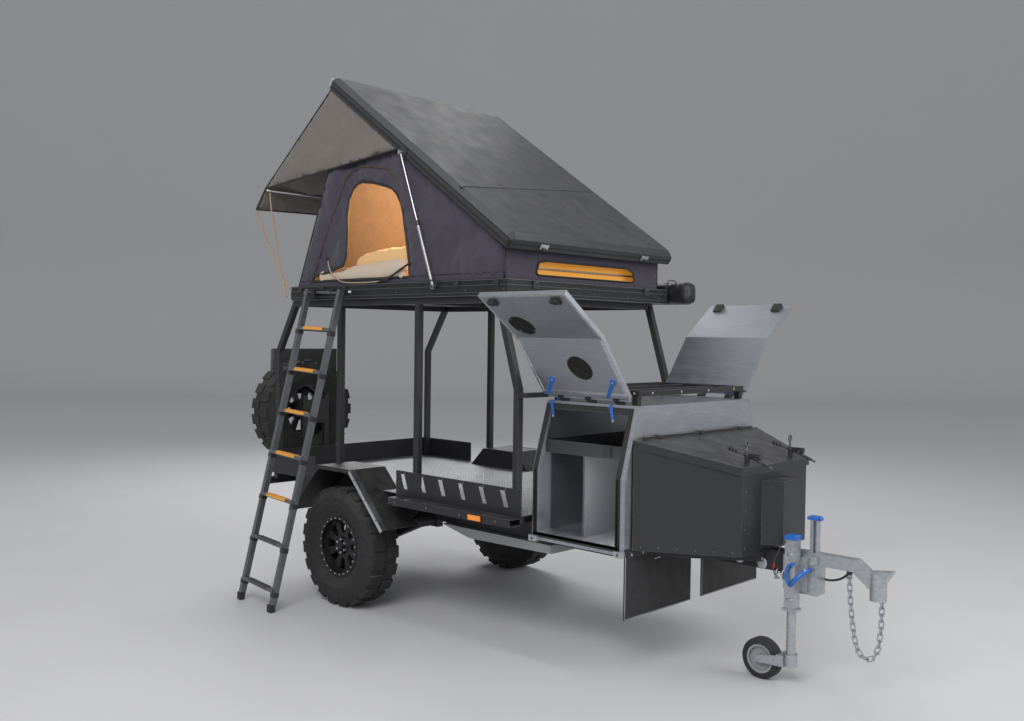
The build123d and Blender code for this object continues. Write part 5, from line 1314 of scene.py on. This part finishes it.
def cabinet_fittings():
    """Blue door stays and hooks, seal bands, switch plates and rivets of the cabinet."""
    kit = Kit()
    wall = Vector((0, -SLOPE_UP, SLOPE_IN)).normalized()
    for side in SIDES:
        for x in STAY_X:
            low = [at(x - 0.006, side * 0.5965, 1.369), at(x + 0.007, side * 0.5965, 1.369),
                   at(x - 0.026, side * 0.5700, 1.4575), at(x - 0.050, side * 0.5700, 1.4575)]
            kit.plate("stay", low[::-side], 0.003, "paint_blue")
            kit.lathe("stay_screw", [(0.007, 0), (0.007, 0.0012), (0.004, 0.002)],
                      at(x, side * 0.5985, 1.372), (0, side, 0.3), "cast_bright", 16)
            path = [at(x, side * 0.555, 1.462), at(x, side * 0.553, 1.49),
                    at(x + 0.003, side * 0.548, 1.52),
                    at(x + 0.002, side * 0.536, 1.545)]
            kit.tube("stay_hook", smooth_path(path), 0.0075, "paint_blue", 12)
            kit.lathe("stay_foot", [(0.014, 0), (0.014, 0.004), (0.01, 0.007)],
                      at(x, side * 0.555, 1.459), (0, 0, 1), "paint_blue", 20)
        seal_band(kit, side)
        kit.bar("switch_plate", (0.05, 0.004, 0.07), at(2.06, side * 0.622, 1.20), "latch_black",
                0.002)
    kit.join("cabinet_fittings", "trailer")
    heads = []
    for side in SIDES:
        for x in (1.592, 2.225):
            heads += [(at(x, side * CAB_Y, z), (0, side, 0)) for z in (0.72, 0.82, 0.92, 1.02)]
            for i in range(4):
                t = 0.12 + 0.24 * i
                heads.append((at(x, side * (CAB_Y - SLOPE_IN * t), KNEE_Z + SLOPE_UP * t),
                              (0, side * -wall[1], wall[2])))
        heads += [(at(1.62 + 0.1 * i, side * CAB_Y, 0.672), (0, side, 0)) for i in range(6)]
    heads += [(at(2.24, y, 1.40), (1, 0, 0)) for y in (-0.5, -0.3, -0.1, 0.1, 0.3, 0.5)]
    studs("cabinet_rivets", heads, 0.0048, 0.0022, "cast_bright", "trailer", 12)


def ladder_fittings():
    """Collars, tread strips and rubber feet of the ladder."""
    kit = Kit()
    for i in range(7):
        z = (RUNG_FIRST + RUNG_STEP * i) / LADDER_TOP.z * LADDER_LENGTH - LADDER_LENGTH
        for x in (-LADDER_RAIL_X, LADDER_RAIL_X):
            kit.bar("collar", (0.043, 0.044, 0.034), on_ladder(x, -0.001, z - 0.022),
                    "latch_black", 0.003, LADDER_TURN)
            kit.bar("collar_pin", (0.012, 0.052, 0.012), on_ladder(x, -0.001, z - 0.022),
                    "cast_grey", 0.002, LADDER_TURN)
        mat = "orange_strip" if i > 1 else "cast_grey"
        kit.bar("tread", (0.25, 0.034, 0.004), on_ladder(0, -0.006, z + 0.0135), mat, 0.001,
                LADDER_TURN)
        kit.bar("tread_lip", (0.25, 0.004, 0.018), on_ladder(0, -0.0275, z + 0.002), mat, 0.001,
                LADDER_TURN)
        for k in range(7):
            kit.bar("tread_rib", (0.006, 0.034, 0.003),
                    on_ladder(-0.105 + 0.035 * k, -0.006, z + 0.0165), mat, 0.0008, LADDER_TURN)
    for x in (-LADDER_RAIL_X, LADDER_RAIL_X):
        foot = on_ladder(x, 0.0, -LADDER_LENGTH)
        foot.z = FOOT_SIZE[2] / 2
        kit.bar("foot", FOOT_SIZE, foot, "rubber_black", 0.006,
                Matrix.Rotation(LADDER_YAW, 3, "Z"))
    kit.join("ladder_fittings", "ladder")


def wheel_fittings(body, centre, out, seed):
    """Ring of rim bolts, wheel nuts, centre cap and valve of one wheel."""
    n = Vector(out)
    u = Vector((0, 0, 1))
    v = n.cross(u)

    def spot(radius, angle, lift):
        return centre + (u * math.cos(angle) + v * math.sin(angle)) * radius + n * lift

    ring = [(spot(0.1885, a + TURN / 48, 0.0985), n) for a in spun(24)]
    studs("rim_bolts_" + seed, ring, 0.0062, 0.006, "cast_bright", body, 6)
    nuts = [(spot(0.044, a, 0.060), n) for a in spun(6)]
    studs("wheel_nuts_" + seed, nuts, 0.0098, 0.018, "bright_trim", body, 6)
    kit = Kit()
    kit.lathe("centre_cap", [(0.030, 0.0), (0.030, 0.02), (0.026, 0.027), (0.012, 0.030)],
              centre + n * 0.059, n, "wheel_black", 32)
    kit.lathe("bead_ring", [(0.180, 0.0), (0.200, 0.0), (0.200, 0.004), (0.197, 0.007),
                            (0.183, 0.007), (0.180, 0.004), (0.180, 0.0)], centre + n * 0.0945, n,
              "wheel_black", 64)
    kit.tube("valve", [spot(0.168, 0.35, 0.062), spot(0.160, 0.35, 0.085),
                       spot(0.158, 0.35, 0.094)], 0.0045, "rubber_black", 10)
    kit.join("wheel_cap_" + seed, body)


def running_gear():
    """Coil springs, brake hoses with their unions, and pivot bolts."""
    for side, name in NAMED_SIDES:
        kit = Kit()
        helix = []
        for i in range(150):
            a = TURN * i / 24
            helix.append(at(0.095 + 0.054 * math.cos(a), side * (0.56 + 0.054 * math.sin(a)),
                            0.486 + 0.25 * i / 150))
        kit.tube("coil", helix, 0.0075, "cast_grey", 8)
        hose = [at(0.30, side * 0.605, 0.545), at(0.24, side * 0.612, 0.535),
                at(0.16, side * 0.63, 0.50),
                at(0.08, side * 0.66, 0.505), at(0.03, side * 0.70, 0.50)]
        kit.tube("hose", smooth_path(hose), 0.006, "orange_strip", 10)
        hose = [at(0.30, side * 0.605, 0.545), at(0.40, side * 0.606, 0.60),
                at(0.47, side * 0.60, 0.665),
                at(0.49, side * 0.56, 0.735)]
        kit.tube("hose", smooth_path(hose), 0.006, "rubber_black", 10)
        for place in ((0.30, side * 0.602, 0.545), (0.03, side * 0.70, 0.50)):
            kit.lathe("union", [(0.009, -0.008), (0.011, -0.004), (0.011, 0.004), (0.009, 0.008)],
                      at(*place), (1, 0, 0.3), "bright_trim", 12)
        kit.join("running_gear_" + name, "trailer")
        studs("pivot_bolt_" + name, [(at(0.45, side * 0.605, 0.59), (0, side, 0))], 0.026, 0.02,
              "cast_bright", "trailer", 6)


def guard_fittings():
    """Bolts of the arch trim, a flat lamp box on the rear slope and a bright bar on the front
    slope.
    """
    heads = []
    lean = (0.351, 0.345)
    for side in SIDES:
        y = side * 0.941
        for x in (-0.13, 0.0, 0.13):
            heads.append((at(x, y, 0.923), (0, side, 0)))
        for sx in (-1, 1):
            for t in (0.15, 0.5, 0.85):
                heads.append((at(sx * (0.178 + t * 0.33), y, 0.922 - t * 0.33), (0, side, 0)))
    studs("guard_bolts", heads, 0.006, 0.003, "cast_grey", "trailer", 12)
    kit = Kit()
    for side in SIDES:
        slope = Vector((-lean[0], 0, lean[1])).normalized()
        centre = at(-0.36, side * 0.80, 0.758) + slope * 0.014
        turn = Matrix.Rotation(math.atan2(-slope.x, slope.z) * -1, 3, "Y")
        kit.bar("lamp_box", (0.07, 0.11, 0.018), centre, "latch_black", 0.003, turn)
        kit.bar("lamp_lens", (0.05, 0.085, 0.006), centre + slope * 0.011, "lamp_red", 0.003, turn)
        ends = [at(0.180, side * 0.897, 0.9325), at(0.180, side * 0.9405, 0.9325),
                at(0.520, side * 0.9405, 0.5865), at(0.520, side * 0.897, 0.5865)]
        kit.plate("slope_bar", ends[::side], 0.003, "bright_trim")
    kit.join("guard_lamps", "trailer")


def box_fittings():
    """Latch washers, pins and grips on the lid, rivets on the front box."""
    kit = Kit()
    for y in (-0.235, 0.235):
        kit.lathe("washer", [(0.026, 0), (0.026, 0.003), (0.022, 0.006), (0.016, 0.008)],
                  at(2.705, y, 1.1625), (0.24, 0, 1), "bright_trim", 28)
        kit.lathe("cap", [(0.0145, 0), (0.016, 0.003), (0.013, 0.008), (0.004, 0.010)],
                  at(2.705, y, 1.2145), (0, 0, 1), "cast_grey", 24)
        kit.lathe("grip_end", [(0.010, -0.012), (0.0135, -0.009), (0.0135, 0.009),
                               (0.010, 0.012)], at(2.774, y, 1.205), (0, 1, 0), "latch_black", 20)
        x = 2.700
        kit.tube("eye_bolt", [at(x, y, 1.20), at(x, y, 1.262)], 0.007, "cast_grey", 12)
        ring = [at(x, y + 0.0135 * math.cos(a), 1.275 + 0.0150 * math.sin(a))
                for a in spun(24, 1)]
        kit.tube("eye", ring, 0.0048, "cast_grey", 10)
        grip = [at(x - 0.100, y, 1.243), at(x - 0.004, y, 1.213), at(x + 0.050, y, 1.196),
                at(x + 0.128, y, 1.166)]
        knurl = lambda i, a: 1.0 + (0.10 if i % 2 else 0.0)
        kit.tube("lever", resample(grip[:2], 0.008), 0.0072, "cast_grey", 12, knurl)
        kit.tube("lever", grip[1:], 0.0082, "latch_black", 12)
        for t, r in ((0.0, 0.0125), (0.2, 0.011), (0.4, 0.0105)):
            kit.lathe("collar", [(r * 0.7, -0.006), (r, -0.004), (r, 0.004), (r * 0.7, 0.006)],
                      grip[0].lerp(grip[1], t), grip[1] - grip[0], "latch_black", 20)
        kit.tube("lever_tip", [grip[3], grip[3] + (grip[3] - grip[2]).normalized() * 0.028],
                 0.0062, "cast_grey", 12)
    kit.join("lid_fittings", "toolbox_lid")
    rivets = []
    slant = Vector((0.283, -0.495, 0)).normalized()
    for side in SIDES:
        for i in range(6):
            t = 0.08 + 0.168 * i
            place = at(2.25 + 0.495 * t, side * (0.628 - 0.283 * t), 0.71)
            rivets.append((place, (slant.x, side * -slant.y, 0)))
    rivets += [(at(2.745, y, z), (1, 0, 0)) for y in (-0.31, 0.31)
               for z in (0.73, 0.83, 0.93, 1.03)]
    studs("box_rivets", rivets, 0.0055, 0.0025, "cast_grey", "trailer", 12)


def hitch_fittings():
    """Bolts, clamp lever, shackles, breakaway cable and wiring at the drawbar."""
    heads = []
    for y in (-0.052, 0.052):
        for x, z in ((2.70, 0.635), (2.56, 0.635)):
            heads.append((at(x, y, z), (0, y, 0)))
    for x in (2.875, 2.925, 2.995):
        for z in (0.655, 0.535):
            heads.append((at(x, 0.05, z), (0, 1, 0)))
            if x > 2.95:
                heads.append((at(x, -0.05, z), (0, -1, 0)))
    studs("hitch_bolts", heads, 0.013, 0.011, "cast_bright", "trailer", 6)
    discs = [(at(2.70, -0.050, 0.61), (0, -1, 0)), (at(2.56, -0.050, 0.62), (0, -1, 0))]
    studs("hitch_discs", discs, 0.032, 0.006, "cast_bright", "trailer", 32)
    kit = Kit()
    # blue clamp lever on the jockey tube's bracket
    bow = [at(2.936, -0.137, 0.660), at(2.905, -0.142, 0.640), at(2.893, -0.143, 0.592),
           at(2.899, -0.143, 0.561), at(2.915, -0.142, 0.540)]
    kit.tube("clamp_bow", smooth_path(bow), 0.0075, "paint_blue", 12)
    kit.tube("clamp_lever", [at(2.912, -0.141, 0.540), at(2.955, -0.134, 0.587),
                             at(2.979, -0.104, 0.617), at(2.985, -0.060, 0.622)], 0.0125,
             "paint_blue", 12)
    kit.lathe("clamp_pin", [(0.006, -0.016), (0.008, -0.012), (0.008, 0.012), (0.006, 0.016)],
              at(2.975, -0.106, 0.615), (0.4, 0.2, 0.9), "cast_bright", 16)
    # shackles below the drawbar's end
    for x in (2.80, 2.835):
        arc = [at(x, -0.052 - 0.022 * math.sin(a), 0.575 - 0.03 - 0.026 * math.cos(a) + 0.026)
               for a in (math.pi * i / 10 for i in range(-1, 12))]
        kit.tube("shackle", arc, 0.006, "cast_bright", 10)
        kit.tube("shackle_pin", [at(x - 0.014, -0.055, 0.578), at(x + 0.014, -0.055, 0.578)],
                 0.006, "cast_bright", 10)
    cable = [at(2.884, -0.1255, 0.766), at(2.868, -0.131, 0.752), at(2.843, -0.124, 0.718),
             at(2.817, -0.118, 0.665), at(2.803, -0.110, 0.615), at(2.799, -0.098, 0.585),
             at(2.799, -0.086, 0.568)]
    kit.tube("breakaway", smooth_path(cable), 0.003, "cast_grey", 8)
    kit.tube("cable_sleeve", [at(2.808, -0.1145, 0.634), at(2.802, -0.108, 0.606)], 0.006,
             "brake_red", 12)
    ring = [at(2.799, -0.079 + 0.011 * math.cos(a), 0.560 + 0.013 * math.sin(a))
            for a in spun(20, 1)]
    kit.tube("cable_ring", ring, 0.0028, "cast_bright", 8)
    for z in (0.70, 0.46):
        kit.lathe("tube_ring", [(0.0305, -0.008), (0.0345, -0.006), (0.0345, 0.006),
                                (0.0305, 0.008), (0.0305, -0.008)], at(2.905, -0.096, z),
                  (0, 0, 1), "galvanised", 32)
    kit.bar("upright", (0.013, 0.034, 0.176), at(3.0005, -0.004, 0.791), "galvanised", 0.002)
    kit.bar("upright_bridge", (0.020, 0.012, 0.014), at(2.989, -0.004, 0.845), "galvanised", 0.001)
    kit.lathe("knob", [(0.006, 0), (0.0125, 0.003), (0.0135, 0.010), (0.010, 0.018),
                       (0.004, 0.021)], at(3.007, -0.004, 0.889), (1, 0, 0.1), "paint_blue", 20)
    loom = [at(2.86, 0.03, 0.665), at(2.95, 0.045, 0.60), at(3.02, 0.05, 0.56),
            at(3.10, 0.044, 0.575),
            at(3.16, 0.038, 0.62)]
    kit.tube("loom", smooth_path(loom), 0.006, "rubber_black", 10)
    kit.lathe("loom_plug", [(0.009, 0), (0.014, 0.006), (0.014, 0.034), (0.010, 0.040)],
              at(3.15, 0.039, 0.612), (0.7, 0, 0.7), "latch_black", 20)
    kit.join("hitch_fittings", "trailer")


def flap_fittings():
    """Light piping round the stone flaps and the bolts of their clamp strip."""
    kit = Kit()
    for side in SIDES:
        line = [(side * 0.680, 0.66), (side * 0.680, 0.324), (side * 0.060, 0.324),
                (side * 0.060, 0.55)]
        for x in (2.2385, 2.2475):
            path = [at(x, y, z) for y, z in resample(line, 0.05)]
            kit.tube("piping", path, 0.0022, "plastic_grey", 8)
        kit.bar("clamp_strip", (0.005, 0.56, 0.03), at(2.2485, side * 0.375, 0.668),
                "frame_black", 0.001)
    kit.join("flap_fittings", "trailer")
    heads = [(at(2.251, side * (0.13 + 0.1 * i), 0.668), (1, 0, 0)) for side in SIDES
             for i in range(6)]
    studs("flap_bolts", heads, 0.007, 0.004, "cast_bright", "trailer", 6)


def bed_fittings():
    """Bolts of the bed panels and sliders, and lamp bezels."""
    heads = []
    for side in SIDES:
        for x in (0.60, 0.78, 0.96, 1.14, 1.32, 1.50):
            heads.append((at(x - 0.06, side * 0.7705, 0.935), (0, side, 0)))
        for x in (-0.95, -0.75, -0.55):
            heads.append((at(x, side * 0.7705, 0.93), (0, side, 0)))
        for x in (0.55, 0.85, 1.15, 1.45):
            heads.append((at(x, side * 0.8605, 0.764), (0, side, 0)))
    heads += [(at(-1.0262, y, 0.93), (-1, 0, 0)) for y in (-0.6, -0.3, 0.3, 0.6)]
    studs("bed_bolts", heads, 0.0095, 0.006, "cast_grey", "trailer", 6)
    kit = Kit()
    for side in SIDES:
        kit.bar("bezel", (0.112, 0.006, 0.044), at(1.28, side * 0.8615, 0.764), "latch_black",
                0.002)
        for z in (0.7465, 0.7815):
            kit.bar("lamp_edge", (0.106, 0.004, 0.003), at(1.28, side * 0.8735, z), "latch_black",
                    0.001)
        y = side * 0.70
        kit.bar("rear_bezel", (0.006, 0.094, 0.052), at(-1.0925, y, 0.715), "latch_black", 0.002)
    kit.join("bed_fittings", "trailer")


def rack_fittings():
    """Bolts along the roof rack's rails."""
    heads = [(at(1.64 + 0.135 * i, side * 0.5375, 1.525), (0, side, 0)) for side in SIDES
             for i in range(5)]
    heads += [(at(2.2165, y, 1.525), (1, 0, 0)) for y in (-0.42, -0.14, 0.14, 0.42)]
    studs("rack_bolts", heads, 0.008, 0.005, "cast_bright", "trailer", 6)


def tent_trim():
    """Cord loop and dark strap hanging at the tent's door."""
    y = -WALL_Y - 0.026
    loop = [at(-0.337, -WALL_Y - 0.006, 2.344), at(-0.278, y, 2.267), at(-0.209, y, 2.212),
            at(-0.118, y, 2.182), at(0.048, y, 2.174), at(0.24, y, 2.176),
            at(0.344, y + 0.004, 2.188)]
    kit = Kit()
    kit.tube("cord_loop", smooth_path(loop), 0.0045, "rope_tan", 10)
    kit.lathe("toggle", [(0.004, -0.014), (0.010, -0.009), (0.012, 0), (0.010, 0.009),
                         (0.004, 0.014)], loop[0] + Vector((0, -0.004, 0.004)), (0.3, 0, 1),
              "piping_black", 16)
    strap = [at(0.562, -WALL_Y - 0.008, 2.292), at(0.484, y, 2.250), at(0.394, y, 2.210),
             at(0.303, y, 2.184), at(0.23, y + 0.004, 2.168)]
    kit.tube("strap", smooth_path(strap), 0.0075, "piping_black", 8)
    crush(kit.join("tent_trim", "trailer"))


camera()
studio()
tent_walls()
tent_lining()
tent_seams()
bedding()
canopy()
ropes()
awning_roll()
bin_bag()
roof_fittings()
tray_fittings()
for flank, label in NAMED_SIDES:
    door_fittings(flank, label)
cabinet_fittings()
ladder_fittings()
for flank, label in NAMED_SIDES:
    wheel_fittings("wheel_" + label, at(0, flank * 0.799, 0.400), (0, flank, 0), label)
wheel_fittings("trailer", at(-1.245, -0.335, 1.220), (-1, 0, 0), "spare")
running_gear()
guard_fittings()
box_fittings()
hitch_fittings()
flap_fittings()
bed_fittings()
rack_fittings()
tent_trim()
